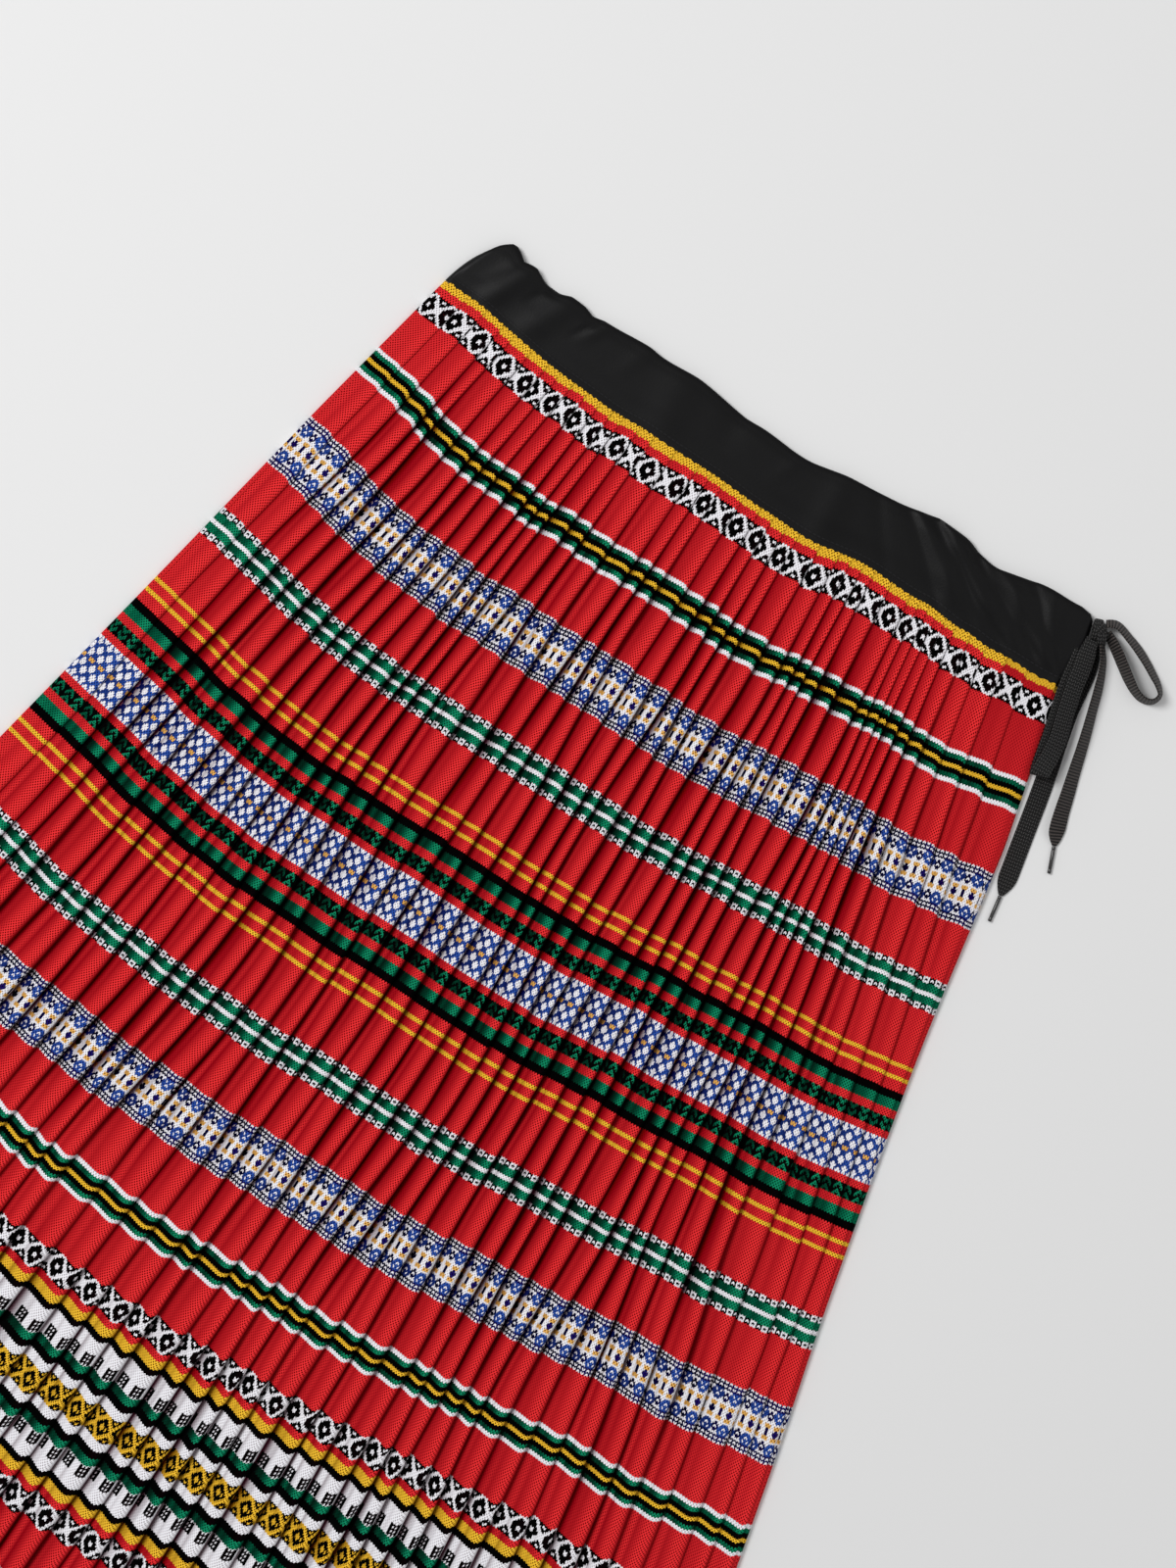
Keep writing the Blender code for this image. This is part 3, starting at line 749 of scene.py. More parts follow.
def pleat_points(n, down, edges, shares, lean):
    """One pleat's points at a distance down: each one's share, arc, height, u, v and painted light."""
    (start, end), (left, right) = edges, shares
    pitch = end - start
    fullness = between(FULLNESS, down)
    softness = read(LOW_SOFTNESS, down) * (1 - LEFT_SOFTNESS * left)
    tall = pleat_height(n, pitch, fullness) * (1 + sway(HEIGHT_SWAY, down, SWELL_PHASE[n]))
    tall *= 1 - 0.5 * softness
    bulge = sway(RIDGE_SWAY, down, STEP_PHASE[n])
    wide = limited((pitch - NARROW_PITCH) / (WIDE_PITCH - NARROW_PITCH)) * fullness
    wide *= 1 - TROUGH_SWAY[0] + sway(TROUGH_SWAY, down, SWELL_PHASE[n] * 3)
    low = FRONT_LEVEL - VALLEY_DROP * fullness
    section = []
    for t, h, _ in PLEAT_SHAPE:
        dent = (soft_ridge(t, SECOND_RIDGE_AT) - soft_ridge(t, TROUGH_AT)) * TROUGH_DEPTH * wide
        t += bulge * math.sin(math.pi * t)
        section.append((start + pitch * t, low + (FRONT_LEVEL - low + tall) * h + dent))
    walk = [0.0]
    for (a0, z0), (a1, z1) in zip(section, section[1:]):
        walk.append(walk[-1] + math.hypot(a1 - a0, z1 - z0))
    # How strong the painted shade in the creases is: stronger on fuller, deeper pleats, weaker where they
    # are soft
    depth = min(1.0, (0.25 + 1.1 * fullness) * CREASES[n + 1][-1]) * (1 - softness)
    depth *= 1 - SHADE_SWAY[0] + sway(SHADE_SWAY, down, STEP_PHASE[n] * 2)
    # Painted shade on the last two pleats, fading down from the waist
    end_painted_shade = END_SHADE * math.exp(-down / END_SHADE_FADE) if n >= PLEATS - 2 else 0.0
    swing = between(COURSE_WAVE, down)
    wave = sway(COURSE_SWAY, down, STEP_PHASE[n]) + 0.3 * DRIFT[n]
    points = []
    for (t, _, painted_light), (arc, z), way in zip(PLEAT_SHAPE, section, walk):
        u = (n * PLEAT_STITCHES + RIDGE_STITCH) * STITCH + (way - walk[RIDGE]) / MM + DRIFT[n]
        v = lean * (arc - section[RIDGE][0]) / MM + wave - course_wave(t, swing)
        # Painted shade: dark towards the crease, less on a wide pleat's second ridge, more in its trough
        shadow = depth * (1 - painted_light) * (1 - 0.8 * wide * soft_ridge(t, SECOND_RIDGE_AT))
        lit = (1 - shadow) * (1 - TROUGH_SHADE * wide * soft_ridge(t, TROUGH_AT))
        points.append([left + (right - left) * t, arc, z, u, v, lit * (1 - end_painted_shade)])
    return points


def turned_side(point, way):
    """A side's points, from the ground up, where it turns down: way is -1 at the left, 1 at the right."""
    share, arc, _, u, v, _ = point
    side = []
    for x, z in SIDE_TURN:
        out = way * (SIDE_ROLL - x * MM)
        # The turned-down side gets painted shade
        side.append([share, arc + out, z * MM, u + way * (SIDE_ROLL / MM + SIDE_TURN_TOP - z), v, SIDE_PAINTED_LIGHT])
    return side


def front_row(down):
    """The front's points at a distance down, from side to side."""
    half_arc = HALF_ANGLE * (SEAM_RADIUS + down)
    above, below = max(down - LEAN_STEP, 0.0), min(down + LEAN_STEP, CLOTH_LENGTH)
    places, earlier, later = crease_places(down), crease_places(above), crease_places(below)
    slants = [COURSE_LEAN * 2 * half_arc * (b - a) / (below - above) for a, b in zip(earlier, later)]
    edges = [(2 * place - 1) * (half_arc - SIDE_ROLL) + wander(n, down) for n, place in enumerate(places)]
    points = []
    for n in range(PLEATS):
        lean = slants[n] + (slants[n + 1] - slants[n]) * RIDGE_SHARE
        points += pleat_points(n, down, edges[n : n + 2], places[n : n + 2], lean)
    points[0][2] = FRONT_LEVEL
    _, _, _, u, v, painted_light = points[-1]
    points.append([places[-1], edges[-1], FRONT_LEVEL, u + 1.0, v, painted_light])
    # Painted shade beside the skirt's left side
    points[0][5] = points[1][5] = EDGE_PAINTED_LIGHT
    return turned_side(points[0], -1) + points + turned_side(points[-1], 1)[::-1]


def pleated_front():
    """The front: 40 pleats that turn down at both sides, and lap over the band at the top."""
    grid = []
    for row in range(FRONT_ROWS + 1):
        down = CLOTH_LENGTH * row / FRONT_ROWS
        points = front_row(down)
        last = len(points) - 1
        line = []
        for i, (share, arc, z, u, v, painted_light) in enumerate(points):
            radius = cloth_radius(share, down) + (0.0 if row else SEAM_GAP)
            side = min(i, last - i)
            level = min(1.0, side / (len(SIDE_TURN) + 1))
            inward = WALL * (1 - level) * (1 if i < last / 2 else -1)
            drop = WALL * math.sin(level * math.pi / 2)
            if row == 0 and side > len(SIDE_TURN):
                radius -= OVERLAP + (SCALLOP if i % 3 else -SCALLOP)
                z = LAP_LEVEL
                drop = LAP_WALL
            outer, inner = fan_point(arc, radius, z), fan_point(arc + inward, radius, max(z - drop, 0.0))
            line.append((outer, inner, (u, down / MM - stripe_slip(share, down) + v, painted_light)))
        grid.append(line)
    return grid


def pressed_back():
    """The back: a flat underside and low waves above."""
    grid = []
    for row in range(BACK_ROWS + 1):
        down = CLOTH_LENGTH * row / BACK_ROWS
        half_arc = HALF_ANGLE * (SEAM_RADIUS + down)
        places = crease_places(down)
        pitch = 2 * half_arc / len(places) / MM
        points = []
        for n, (left, right) in enumerate(zip(places, places[1:])):
            for t, h in BACK_WAVE:
                points.append((left + (right - left) * t, h, n * PLEAT_STITCHES * STITCH, t))
        points.append((places[-1], 0.0, len(places) * PLEAT_STITCHES * STITCH, 0.0))
        line = []
        for share, h, u, t in points:
            arc = (2 * share - 1) * (half_arc - WALL - SEAM_GAP)
            radius = cloth_radius(share, down) + (0.0 if row else SEAM_GAP)
            top = fan_point(arc, radius, BACK_LOW + BACK_RIPPLE * h * between(FULLNESS, down))
            # Painted shade along each of the back's low waves, darkest at their ends
            painted_light = 0.45 + 0.5 * math.sin(math.pi * min(1.0, t + 0.15))
            cloth = (u + t * pitch, down / MM - stripe_slip(share, down), painted_light)
            line.append((top, fan_point(arc, radius, 0.0), cloth))
        grid.append(line)
    return grid


class Nodes:
    """Short calls that build a material's nodes."""

    def __init__(self, name):
        self.material = bpy.data.materials.new(name)
        self.material.use_nodes = True
        self.tree = self.material.node_tree
        self.shader = self.tree.nodes["Principled BSDF"]

    def node(self, kind, **settings):
        made = self.tree.nodes.new(kind)
        for name, value in settings.items():
            setattr(made, name, value)
        return made

    def feed(self, socket, value):
        if isinstance(value, bpy.types.NodeSocket):
            self.tree.links.new(value, socket)
        elif value is not None:
            socket.default_value = value

    def math(self, operation, a, b=None, c=None, clamp=False):
        made = self.node("ShaderNodeMath", operation=operation, use_clamp=clamp)
        for socket, value in zip(made.inputs, (a, b, c)):
            self.feed(socket, value)
        return made.outputs[0]

    def times(self, a, b):
        return self.math("MULTIPLY", a, b)

    def minus(self, a, b, clamp=False):
        return self.math("SUBTRACT", a, b, clamp=clamp)

    def scaled(self, a, scale, shift):
        """A value times a scale, and a shift added."""
        return self.math("MULTIPLY_ADD", a, scale, shift)

    def cloth(self):
        """The cloth coordinates that the mesh carries."""
        return self.node("ShaderNodeAttribute", attribute_name="cloth").outputs["Vector"]

    def mix(self, factor, a, b, blend="MIX", clamp=False):
        made = self.node("ShaderNodeMix", data_type="RGBA", blend_type=blend, clamp_result=clamp)
        self.feed(made.inputs[0], factor)
        for socket, value in ((made.inputs[6], a), (made.inputs[7], b)):
            if isinstance(value, tuple):
                value = (*value, 1.0)
            self.feed(socket, value)
        return made.outputs[2]

    def steps(self, factor, stops):
        """A ramp of plain steps: each stop is a place from 0 to 1 and three numbers."""
        made = self.node("ShaderNodeValToRGB")
        ramp = made.color_ramp
        ramp.interpolation = "CONSTANT"
        while len(ramp.elements) > 1:
            ramp.elements.remove(ramp.elements[-1])
        for number, (place, numbers) in enumerate(stops):
            element = ramp.elements[0] if number == 0 else ramp.elements.new(place)
            element.position = place
            element.color = (*numbers, 1.0)
        self.feed(made.inputs[0], factor)
        return made.outputs[0]

    def stretch(self, value, low, high, to_low=0.0, to_high=1.0, smooth=False):
        made = self.node("ShaderNodeMapRange", interpolation_type="SMOOTHSTEP" if smooth else "LINEAR")
        for socket, number in zip(made.inputs, (value, low, high, to_low, to_high)):
            self.feed(socket, number)
        return made.outputs[0]

    def part(self, vector):
        made = self.node("ShaderNodeSeparateXYZ")
        self.feed(made.inputs[0], vector)
        return made.outputs

    def noise(self, vector, scale, detail=2.0):
        made = self.node("ShaderNodeTexNoise")
        self.feed(made.inputs["Vector"], vector)
        made.inputs["Scale"].default_value = scale
        made.inputs["Detail"].default_value = detail
        return made.outputs[0]

    def bump(self, height, strength, distance):
        made = self.node("ShaderNodeBump")
        made.inputs["Strength"].default_value = strength
        made.inputs["Distance"].default_value = distance
        self.feed(made.inputs["Height"], height)
        self.feed(self.shader.inputs["Normal"], made.outputs[0])

    def finish(self, roughness, specular):
        self.shader.inputs["Roughness"].default_value = roughness
        self.shader.inputs["Specular IOR Level"].default_value = specular
        return self.material


def yarn_bits(letter):
    """A yarn's number in the palette, as three bits."""
    number = list(YARNS).index(letter)
    return [(number >> bit) & 1 for bit in range(3)]


def packed_row(row):
    """One course of a chart as three numbers from 0 to 1, each holding twelve on-off stitches."""
    full = (row * WIDE_CHART)[:WIDE_CHART]
    numbers = []
    for bit in range(3):
        mask = sum(yarn_bits(letter)[bit] << column for column, letter in enumerate(full))
        numbers.append((mask + 0.5) / 2**WIDE_CHART)
    return numbers


def chart_number(n, stitch, w):
    """The yarn's number where a chart lies, and which course of all the charts that is."""
    rows, first, total = [], {}, 0.0
    for name, (about, start, height, courses) in CHARTS.items():
        chart = courses.split()
        distance = w if about is None else n.math("ABSOLUTE", n.minus(w, about))
        course = height / len(chart)
        place = n.scaled(distance, 1 / course, len(rows) + 1 - start / course)
        within = n.math("COMPARE", distance, start + height / 2, height / 2 - 0.001)
        total = n.scaled(n.math("FLOOR", place), within, total)
        first[name] = len(rows) + 1
        rows += chart
    charted = None
    for block in range(0, len(rows), RAMP_STEPS):
        stops = [(i / RAMP_STEPS, packed_row(row)) for i, row in enumerate(rows[block : block + RAMP_STEPS])]
        ramp = n.steps(n.scaled(total, 1 / RAMP_STEPS, (-block - 0.5) / RAMP_STEPS), stops)
        after = n.math("GREATER_THAN", total, block + 0.5) if block else None
        charted = n.mix(after, charted, ramp) if block else ramp
    wide = n.math("GREATER_THAN", total, first["diamonds"] - 0.5)
    columns = n.scaled(wide, float(WIDE_CHART - NARROW_CHART), float(NARROW_CHART))
    half = (first["ladder"] - first["diamonds"]) / 2
    bold = n.math("COMPARE", total, first["diamonds"] - 0.5 + half, half)
    stitch = n.times(stitch, n.scaled(bold, DIAMOND_SCALE - 1.0, 1.0))
    column = n.math("FLOORED_MODULO", n.math("FLOOR", stitch), columns)
    scale = n.math("POWER", 2.0, n.minus(float(WIDE_CHART), column))
    bits = []
    for numbers in n.part(charted):
        bits.append(n.math("FLOORED_MODULO", n.math("FLOOR", n.times(numbers, scale)), 2.0))
    number = n.scaled(bits[2], 4.0, n.scaled(bits[1], 2.0, bits[0]))
    return n.times(number, n.math("GREATER_THAN", total, 0.5)), total


def stripe_number(n, w, number, total):
    """The yarn's number with the plain stripes added where no chart lies."""
    plain = n.math("LESS_THAN", total, 0.5)
    for start, letters, ends in STRIPES:
        wide = ends[-1] - start
        stops = []
        for letter, low in zip(letters, (start, *ends)):
            stops.append(((low - start) / wide, [list(YARNS).index(letter) / len(YARNS)] * 3))
        ramp = n.part(n.steps(n.stretch(w, start, ends[-1]), stops))[0]
        within = n.math("COMPARE", w, (start + ends[-1]) / 2, wide / 2)
        number = n.scaled(n.times(ramp, float(len(YARNS))), n.times(within, plain), number)
    return number


def jacquard(name, deepest):
    """The knit: stripes and charts of coloured stitches, dark pin holes and the pleats' shade."""
    n = Nodes(name)
    u, v, painted_light = n.part(n.cloth())

    # Every stitch is a small V, so colours meet along a toothed line
    stitch = n.math("DIVIDE", u, STITCH)
    inside = n.math("ABSOLUTE", n.minus(n.math("FRACT", n.times(stitch, 0.5)), 0.5))
    toothed = n.scaled(inside, TOOTH, v)

    # The distance from the nearest first mirror row
    period = 2 * (MIRROR_2 - MIRROR_1)
    turned = n.math("FLOORED_MODULO", n.math("ADD", toothed, period - MIRROR_1 + period / 2), period)
    w = n.math("ABSOLUTE", n.minus(turned, period / 2))
    number, total = chart_number(n, stitch, w)
    number = stripe_number(n, w, number, total)
    yarns = len(YARNS)
    palette = [(i / yarns, colour) for i, colour in enumerate(YARNS.values())]
    colour = n.steps(n.scaled(number, 1 / yarns, 0.5 / yarns), palette)

    # Pin holes in a staggered grid, open on the ridges and closed on the slopes
    waves = [n.math("COSINE", n.times(way, math.tau / pitch)) for way, pitch in ((u, 2 * STITCH), (v, 2.0))]
    hole = n.stretch(n.times(*waves), 0.08, 0.50, smooth=True)
    red, green, blue = n.part(colour)
    filled = n.scaled(blue, -0.40, 1.0)
    open_hole = n.times(n.times(hole, filled), n.stretch(painted_light, 0.45, 0.92, 0.25, 1.0))
    pierced = n.mix(open_hole, colour, n.mix(1.0, colour, HOLE_TINT, "MULTIPLY"))

    # The folds' painted shade: pale yarn goes dark close to the crease only, dark yarn over more of the
    # slope
    shade = n.stretch(painted_light, 0.0, 1.0, deepest, 1.0)
    lifted = n.minus(n.stretch(shade, 0.06, 0.60, 0.01, 1.0, smooth=True), shade)
    sunk = n.minus(n.math("POWER", shade, 3.2), shade)
    paleness = n.times(red, green)
    darkness = n.minus(n.scaled(blue, -1.5, 1.0), red, clamp=True)
    shade = n.scaled(lifted, paleness, n.scaled(sunk, darkness, shade))
    shaded = n.mix(1.0, pierced, n.mix(shade, CREASE_SHADE, (1.0, 1.0, 1.0)), "MULTIPLY")
    n.feed(n.shader.inputs["Base Color"], n.mix(1.0, shaded, SHADE_DEEPENING, "SUBTRACT", clamp=True))

    n.bump(n.scaled(inside, -0.4, n.times(hole, -1.0)), 0.6, 0.00035)
    return n.finish(roughness=0.9, specular=0.04)


def plain_material(name, colour, roughness, specular):
    """A material of one colour."""
    n = Nodes(name)
    n.shader.inputs["Base Color"].default_value = (*colour, 1.0)
    return n.finish(roughness, specular)


def make_stage():
    """A pale floor, the key light from the photo's upper left, and the camera straight above."""
    bpy.ops.mesh.primitive_plane_add(size=12.0, location=(0.0, 0.0, -0.1 * MM))
    floor = bpy.context.object
    floor.name = "pale_floor"
    floor.data.materials.append(plain_material("pale_floor", (0.80, 0.80, 0.80), 0.9, 0.1))

    right = Vector((math.cos(VIEW_TURN), math.sin(VIEW_TURN), 0.0))
    up = Vector((-math.sin(VIEW_TURN), math.cos(VIEW_TURN), 0.0))
    centre = Vector((VIEW_X, APEX_Y - VIEW_BELOW_APEX, 0.0))
    for name, to_right, to_top, height, size, power in LIGHTS:
        light = bpy.data.lights.new(name, "AREA")
        light.shape = "DISK"
        light.size = size
        light.energy = power
        lamp = bpy.data.objects.new(name, light)
        aim = (right * to_right + up * to_top + Vector((0, 0, height))).normalized()
        lamp.location = centre + aim * LIGHT_DISTANCE
        lamp.rotation_euler = aim.to_track_quat("Z", "Y").to_euler()
        bpy.context.scene.collection.objects.link(lamp)

    world = bpy.data.worlds.new("soft_room")
    world.use_nodes = True
    backdrop = world.node_tree.nodes["Background"]
    backdrop.inputs["Color"].default_value = (1.0, 1.0, 1.0, 1.0)
    backdrop.inputs["Strength"].default_value = 0.40
    bpy.context.scene.world = world
    bpy.context.scene.view_settings.view_transform = "Standard"

    camera = bpy.data.cameras.new("view")
    camera.sensor_fit = "VERTICAL"
    camera.sensor_height = SENSOR
    camera.lens = SENSOR * CAMERA_DISTANCE / VIEW_HEIGHT
    eye = bpy.data.objects.new("view", camera)
    eye.location = centre + Vector((0.0, 0.0, CAMERA_DISTANCE))
    eye.rotation_euler = (0.0, 0.0, VIEW_TURN)
    bpy.context.scene.collection.objects.link(eye)
    bpy.context.scene.camera = eye


def band_point(across, up, inset, height, out=0.0):
    """A point of the waistband, a share of the way across and of the way up from its seam."""
    tall = between(BAND_LINE, across, BAND_HEIGHT)
    radius = SEAM_RADIUS + between(BAND_LINE, across, SEAM_DROP) - tall * up - out
    arc = (2 * across - 1) * (HALF_ANGLE * radius - inset) + BAND_LEAN * up
    near_end = max(0.0, abs(2 * across - 1) - 0.9) / 0.1
    puff = END_PUFF if across > 0.5 else -END_PUFF / 2
    arc += puff * near_end * math.sin(math.pi * min(1.0, up)) ** 0.8
    return fan_point(arc, radius, height)


def band_height(across, up):
    """The level of the band's outer face at a point."""
    level = BAND_LEVEL + between(BAND_SHAPE, up)
    folds = [(*fold, min(1.0, 6 * up)) for fold in BAND_FOLDS]
    folds += [(*crease, limited((up - low) / (1 - low))) for *crease, low in BAND_CREASES]
    for place, slant, half_width, height, grown in folds:
        off = (across - place - slant * (up - 0.5)) / half_width
        level += grown * height * math.exp(-off * off)
    return level


def band_end(across, up, drop):
    """Where the casing turns down at an end: across, inset and height, from the ground up."""
    top = band_height(across, up) - drop
    return [(across, inset * MM, min(z * MM, top)) for inset, z in END_TURN]


def casing_front():
    """The band's front: rolled over at its top edge and round its two ends."""
    tall = between(BAND_LINE, 0.5, BAND_HEIGHT)
    rows = [(step / 24, 0.0, 0.0) for step in range(25)]
    rows += [(1.0, out * MM, drop * MM) for out, drop in TOP_TURN]
    grid = []
    for up, out, drop in rows:
        inward = CASING * min(1.0, drop / MM)
        points = band_end(0.0, up, drop)
        for step in range(BAND_STEPS + 1):
            across = step / BAND_STEPS
            points.append((across, SIDE_ROLL, band_height(across, up) - drop))
        points += band_end(1.0, up, drop)[::-1]
        last = len(points) - 1
        line = []
        for i, (across, inset, z) in enumerate(points):
            level = min(1.0, min(i, last - i) / len(END_TURN))
            beyond = (SIDE_ROLL - inset) / SEAM_WIDTH * (1 if across > 0.5 else -1)
            puff = read(BAND_EDGE, across + beyond) * up**3 + out
            lower = max(z - (CASING - inward) * math.sin(level * math.pi / 2), 0.0)
            inner = band_point(across, up, inset + CASING * (1 - level), lower, puff - inward)
            cloth = (across * SEAM_WIDTH / MM, (up * tall + out + drop) / MM, 1.0)
            line.append((band_point(across, up, inset, z, puff), inner, cloth))
        grid.append(line[::-1])
    return grid


def casing_back():
    """The band's back: flat where it rests, with a soft upper face."""
    inset = BAND_WALL + SEAM_GAP
    grid = []
    for up in (0.0, 0.12, 0.3, 0.5, 0.7, 0.88, 1.0):
        line = []
        for step in range(BACK_BAND_STEPS + 1):
            across = step / BACK_BAND_STEPS
            out = read(BAND_EDGE, across) * up**3 * 0.8
            soft = 1.9 - 0.25 * (1 + math.sin(across * 61)) * up
            top, under = (band_point(across, up, inset, z, out) for z in (soft * MM, 0.0))
            line.append((top, under, (across * SEAM_WIDTH / MM, up * 36.0, 1.0)))
        grid.append(line[::-1])
    return grid


def jersey():
    """Black jersey: soft and nearly matt, with a faint grain and a row of stitches."""
    n = Nodes("band_jersey")
    place = n.cloth()
    across, up, _ = n.part(place)
    row = n.math("COMPARE", up, STITCHES_UP, 0.28)
    dash = n.math("LESS_THAN", n.math("FRACT", n.math("DIVIDE", across, STITCH_PITCH)), 0.62)
    sewn = n.times(row, dash)
    n.feed(n.shader.inputs["Base Color"], n.mix(sewn, (0.0030, 0.0029, 0.0032), (0.010, 0.010, 0.011)))
    groove = n.math("COMPARE", up, STITCHES_UP, 0.7)
    lift = n.scaled(sewn, 0.8, n.times(n.noise(place, 1.6, 1.0), 0.35))
    n.bump(n.scaled(groove, -0.6, lift), 0.5, 0.0004)
    return n.finish(roughness=0.46, specular=0.15)


def smooth_route(rows, steps):
    """The rows of a route with more between them, on one smooth curve through them all."""
    ends = [rows[0], *rows, rows[-1]]
    route = []
    for four in zip(ends, ends[1:], ends[2:], ends[3:]):
        p, q, r, s = (np.array(row) for row in four)
        bend = 2 * p - 5 * q + 4 * r - s
        turn = 3 * q - p - 3 * r + s
        for step in range(steps):
            t = step / steps
            route.append((0.5 * (2 * q + (r - p) * t + bend * t**2 + turn * t**3)).tolist())
    route.append(rows[-1])
    return route


def braid_frames(rows, steps=5, steep_turn=0.6):
    """Along a route: each centre, the way to one rim, and half the width there."""
    knot = Vector((KNOT_ACROSS, APEX_Y - KNOT_BELOW_APEX, 0.0))
    route = smooth_route(rows, steps)
    centres = []
    for x, y, lift, width, tilt in route:
        lean = abs(math.radians(tilt))
        resting = width / 2 * MM * math.sin(lean) + BRAID_WALL / 2 * math.cos(lean)
        centres.append(knot + Vector((x * MM, y * MM, lift * MM + resting + FLOOR_CLEARANCE)))
    frames = []
    up = Vector((0, 0, 1))
    side = (centres[1] - centres[0]).cross(up).normalized()
    for number, (row, centre) in enumerate(zip(route, centres)):
        ahead = centres[min(number + 1, len(centres) - 1)]
        behind = centres[max(number - 1, 0)]
        along = (ahead - behind).normalized()
        level = along.cross(up)
        if level.length > steep_turn:
            side = level.normalized() * math.copysign(1, level.dot(side))
        tilt = math.radians(row[4])
        reach = side * math.cos(tilt) + up * math.sin(tilt)
        reach -= along * reach.dot(along)
        frames.append((centre, reach.normalized(), along, row[3] / 2 * MM))
    return frames


def ring_faces(rings, around, closed=False):
    """The faces between rings of so many points each, which may close to a loop."""
    faces = []
    for r in range(rings if closed else rings - 1):
        here, there = r * around, (r + 1) % rings * around
        for k in range(around):
            after = (k + 1) % around
            faces.append((here + k, there + k, there + after, here + after))
    return faces


def ribbon_mesh(frames, ribbed, closed=False, around=16):
    """A flat braid with round rims along its frames: points, faces and cloth coordinates."""
    points, cloth = [], []
    way = 0.0
    before = frames[0][0]
    for centre, reach, along, half in frames:
        way += (centre - before).length
        before = centre
        rise = along.cross(reach)
        for k in range(around):
            angle = math.tau * k / around
            c, s = math.cos(angle), math.sin(angle)
            x = math.copysign(abs(c) ** 0.55, c) * half
            z = math.copysign(abs(s) ** 0.75, s) * BRAID_WALL / 2
            points.append(centre + reach * x + rise * z)
            cloth.append((x / MM, way / MM, ribbed))
    faces = ring_faces(len(frames), around, closed)
    if not closed:
        faces.append(tuple(range(around)))
        faces.append(tuple(range(len(points) - 1, len(points) - around - 1, -1)))
    return points, faces, cloth


def braid_object(name, parts):
    """One object from some ribbons, with smooth shading and its cloth coordinates."""
    points, faces, cloth = [], [], []
    for part_points, part_faces, part_cloth in parts:
        faces += [tuple(i + len(points) for i in face) for face in part_faces]
        points += part_points
        cloth += part_cloth
    mesh = cloth_mesh(name, points, faces, cloth)
    fix = bmesh.new()
    fix.from_mesh(mesh)
    bmesh.ops.recalc_face_normals(fix, faces=fix.faces[:])
    fix.to_mesh(mesh)
    fix.free()
    return smooth_object(mesh, 60)


def winding(middle, turn, tip, size, width, shift, steps=40):
    """One winding of the braid round the knot."""
    turned, tipped = math.radians(turn), math.radians(tip)
    across = Vector((math.cos(turned), math.sin(turned), 0.0))
    level = Vector((-math.sin(turned), math.cos(turned), 0.0))
    ahead = level * math.cos(tipped) + Vector((0.0, 0.0, math.sin(tipped)))
    third = across.cross(ahead)
    frames = []
    for step in range(steps):
        angle = math.tau * step / steps
        way = ahead * math.cos(angle) + third * math.sin(angle)
        radius = size / math.sqrt(sum((way[i] / KNOT_HALF_SIZE[i]) ** 2 for i in range(3)))
        along = third * math.cos(angle) - ahead * math.sin(angle)
        centre = middle + Vector(shift) * MM + way * (radius - BRAID_WALL / 2)
        frames.append((centre, across, along, width * MM))
    return ribbon_mesh(frames, 0.0, closed=True)


def knot_parts(rings=12, around=20):
    """The knot: the braid wound over a small core."""
    middle = Vector((KNOT_ACROSS, APEX_Y - KNOT_BELOW_APEX, KNOT_HALF_SIZE.z + FLOOR_CLEARANCE))
    points, cloth = [], []
    for r in range(rings + 1):
        for k in range(around):
            a, b = math.pi * r / rings, math.tau * k / around
            spot = Vector((math.sin(a) * math.cos(b), math.sin(a) * math.sin(b), math.cos(a)))
            points.append(middle + spot * KNOT_HALF_SIZE * KNOT_CORE)
            cloth.append((k * 1.2, r * 1.1, 0.0))
    core = (points, ring_faces(rings + 1, around), cloth)
    return [winding(middle, *row) for row in KNOT_WINDINGS] + [core]


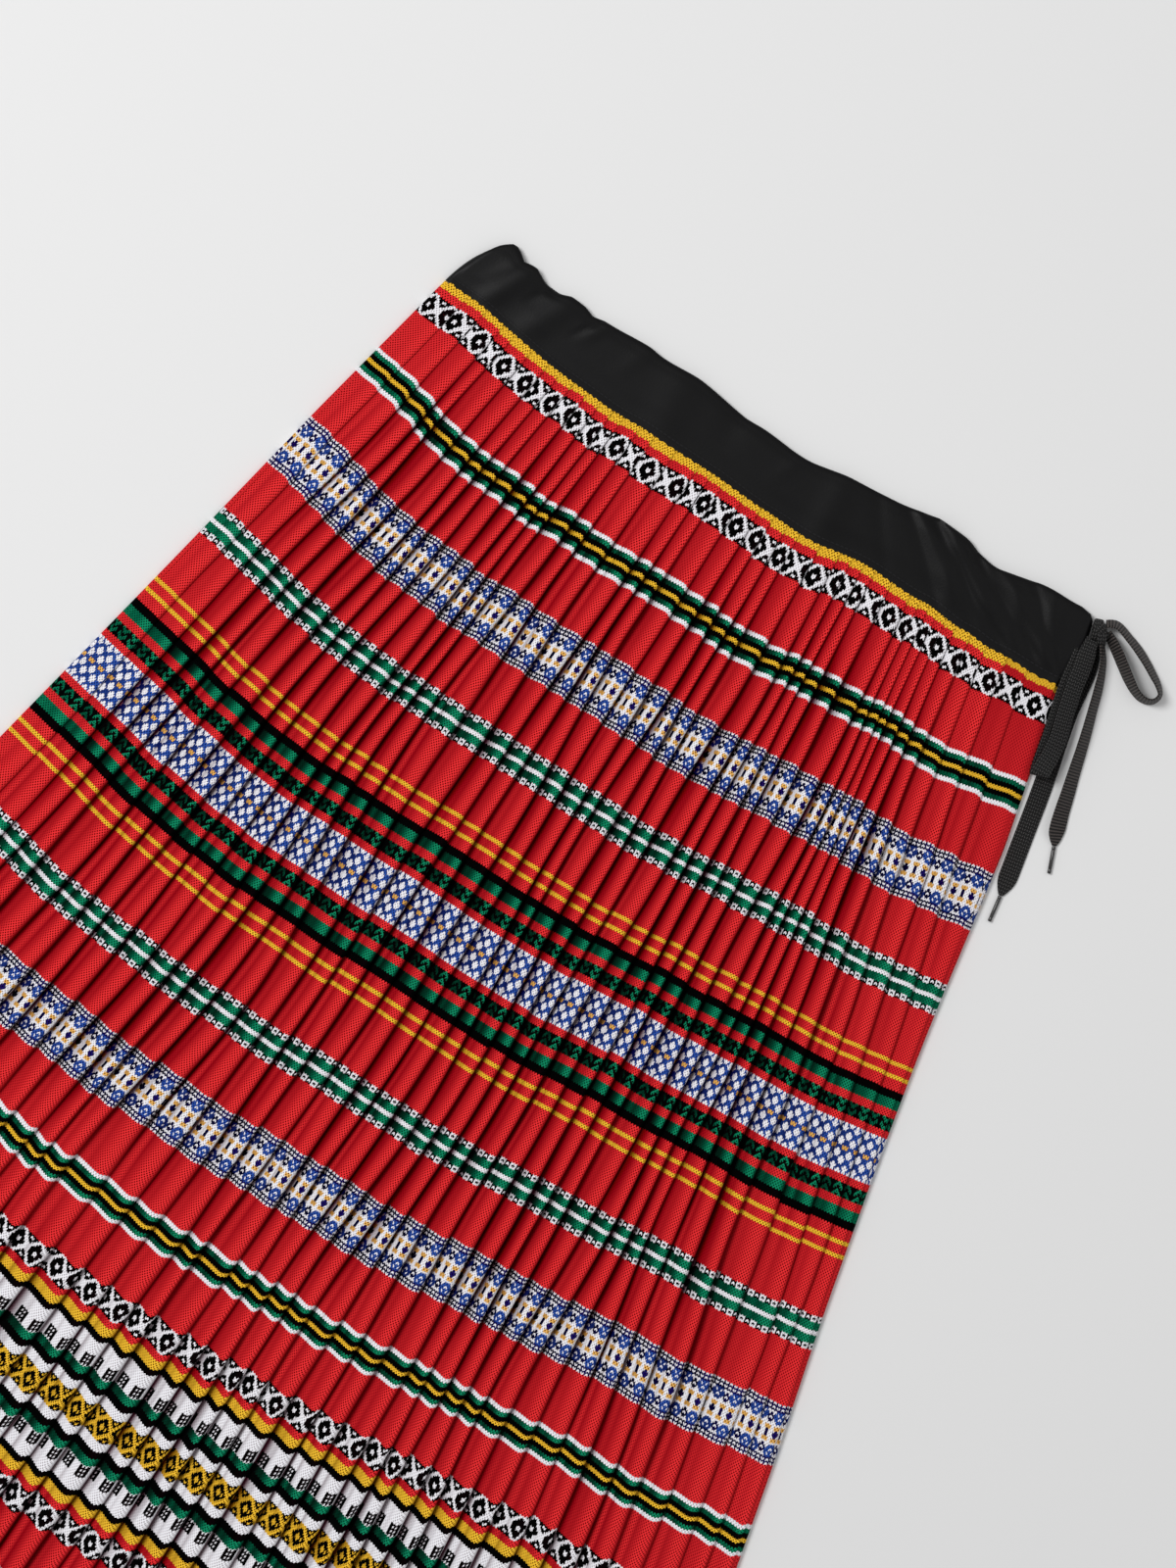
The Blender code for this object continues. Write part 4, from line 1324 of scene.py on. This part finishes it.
def braid_material():
    """Charcoal braid: chevrons of fine yarn, or cross ribs where it is seen edge on."""
    n = Nodes("braid")
    across, along, ribbed = n.part(n.cloth())
    wale = n.math("FRACT", n.math("DIVIDE", across, 2.5))
    chevron = n.math("ABSOLUTE", n.minus(wale, 0.5))
    slanted = n.math("FRACT", n.scaled(chevron, 1.5, n.math("DIVIDE", along, 1.75)))
    yarn = n.math("SINE", n.times(slanted, math.pi))
    between_wales = n.stretch(n.math("ABSOLUTE", n.minus(chevron, 0.25)), 0.25, 0.10)
    plait = n.times(yarn, between_wales)
    rib = n.math("SINE", n.times(n.math("FRACT", n.math("DIVIDE", along, 1.6)), math.pi))
    strands = n.scaled(n.math("COSINE", n.times(across, math.tau / 1.1)), 0.15, 0.85)
    rib = n.times(rib, strands)
    raised = n.node("ShaderNodeMix", data_type="FLOAT")
    for socket, value in zip((raised.inputs[0], raised.inputs[2], raised.inputs[3]), (ribbed, plait, rib)):
        n.feed(socket, value)
    height = raised.outputs[0]
    # Charcoal yarn, browner on the ribbed braid: painted lighter where a yarn is raised, as a painted
    # highlight, and near black in the gaps between yarns, as painted shade
    light = n.mix(ribbed, (0.056, 0.054, 0.053), (0.085, 0.070, 0.065))
    n.feed(n.shader.inputs["Base Color"], n.mix(n.stretch(height, 0.38, 0.96), (0.002, 0.002, 0.002), light))
    n.bump(height, 1.0, 0.0005)
    return n.finish(roughness=0.55, specular=0.3)


def tip_mesh(name, frames, around=24):
    """A hard tip beyond the end of a braid: rolled film with two crimped rings."""
    tip, before = frames[-1][0], frames[-3][0]
    along = (tip - before).to_2d().normalized().to_3d()
    side = Vector((-along.y, along.x, 0.0))
    start = tip + along * AGLET_GAP
    start.z = AGLET_RADIUS + FLOOR_CLEARANCE
    points, cloth = [], []
    for way, size in AGLET_PROFILE:
        for k in range(around):
            angle = math.tau * k / around
            ring = side * math.cos(angle) + Vector((0, 0, 1)) * math.sin(angle)
            points.append(start + along * (way * AGLET_LENGTH) + ring * (size * AGLET_RADIUS))
            cloth.append((k, way, 0.0))
    return braid_object(name, [(points, ring_faces(len(AGLET_PROFILE), around), cloth)])


make_stage()
front_knit = jacquard("front_knit", 0.0)
back_knit = jacquard("back_knit", 0.25)
front = dress(shell("skirt_front_knit", pleated_front()), front_knit, "front_knit", "skirt_front")
back = dress(shell("skirt_back_knit", pressed_back()), back_knit, "back_knit", "skirt_back")
black = jersey()
band_front = dress(shell("casing_front", casing_front()), black, "band_jersey", "waistband_front")
band_back = dress(shell("casing_back", casing_back()), black, "band_jersey", "waistband_back")

flat_braid = braid_material()
shiny_film = plain_material("tip_plastic", (0.020, 0.019, 0.019), 0.22, 0.6)
knot = dress(braid_object("bow_knot", knot_parts()), flat_braid, "braid", "drawstring_knot")
for node, rows in ROUTES.items():
    frames = braid_frames(rows)
    ribbed = 1.0 if node.endswith("1") else 0.0
    braid = dress(braid_object(f"{node}_braid", [ribbon_mesh(frames, ribbed)]), flat_braid, "braid", node)
    if "_end_" in node:
        tip = dress(tip_mesh(f"tip_{node[-1]}", frames), shiny_film, "tip_plastic", f"aglet_{node[-1]}")
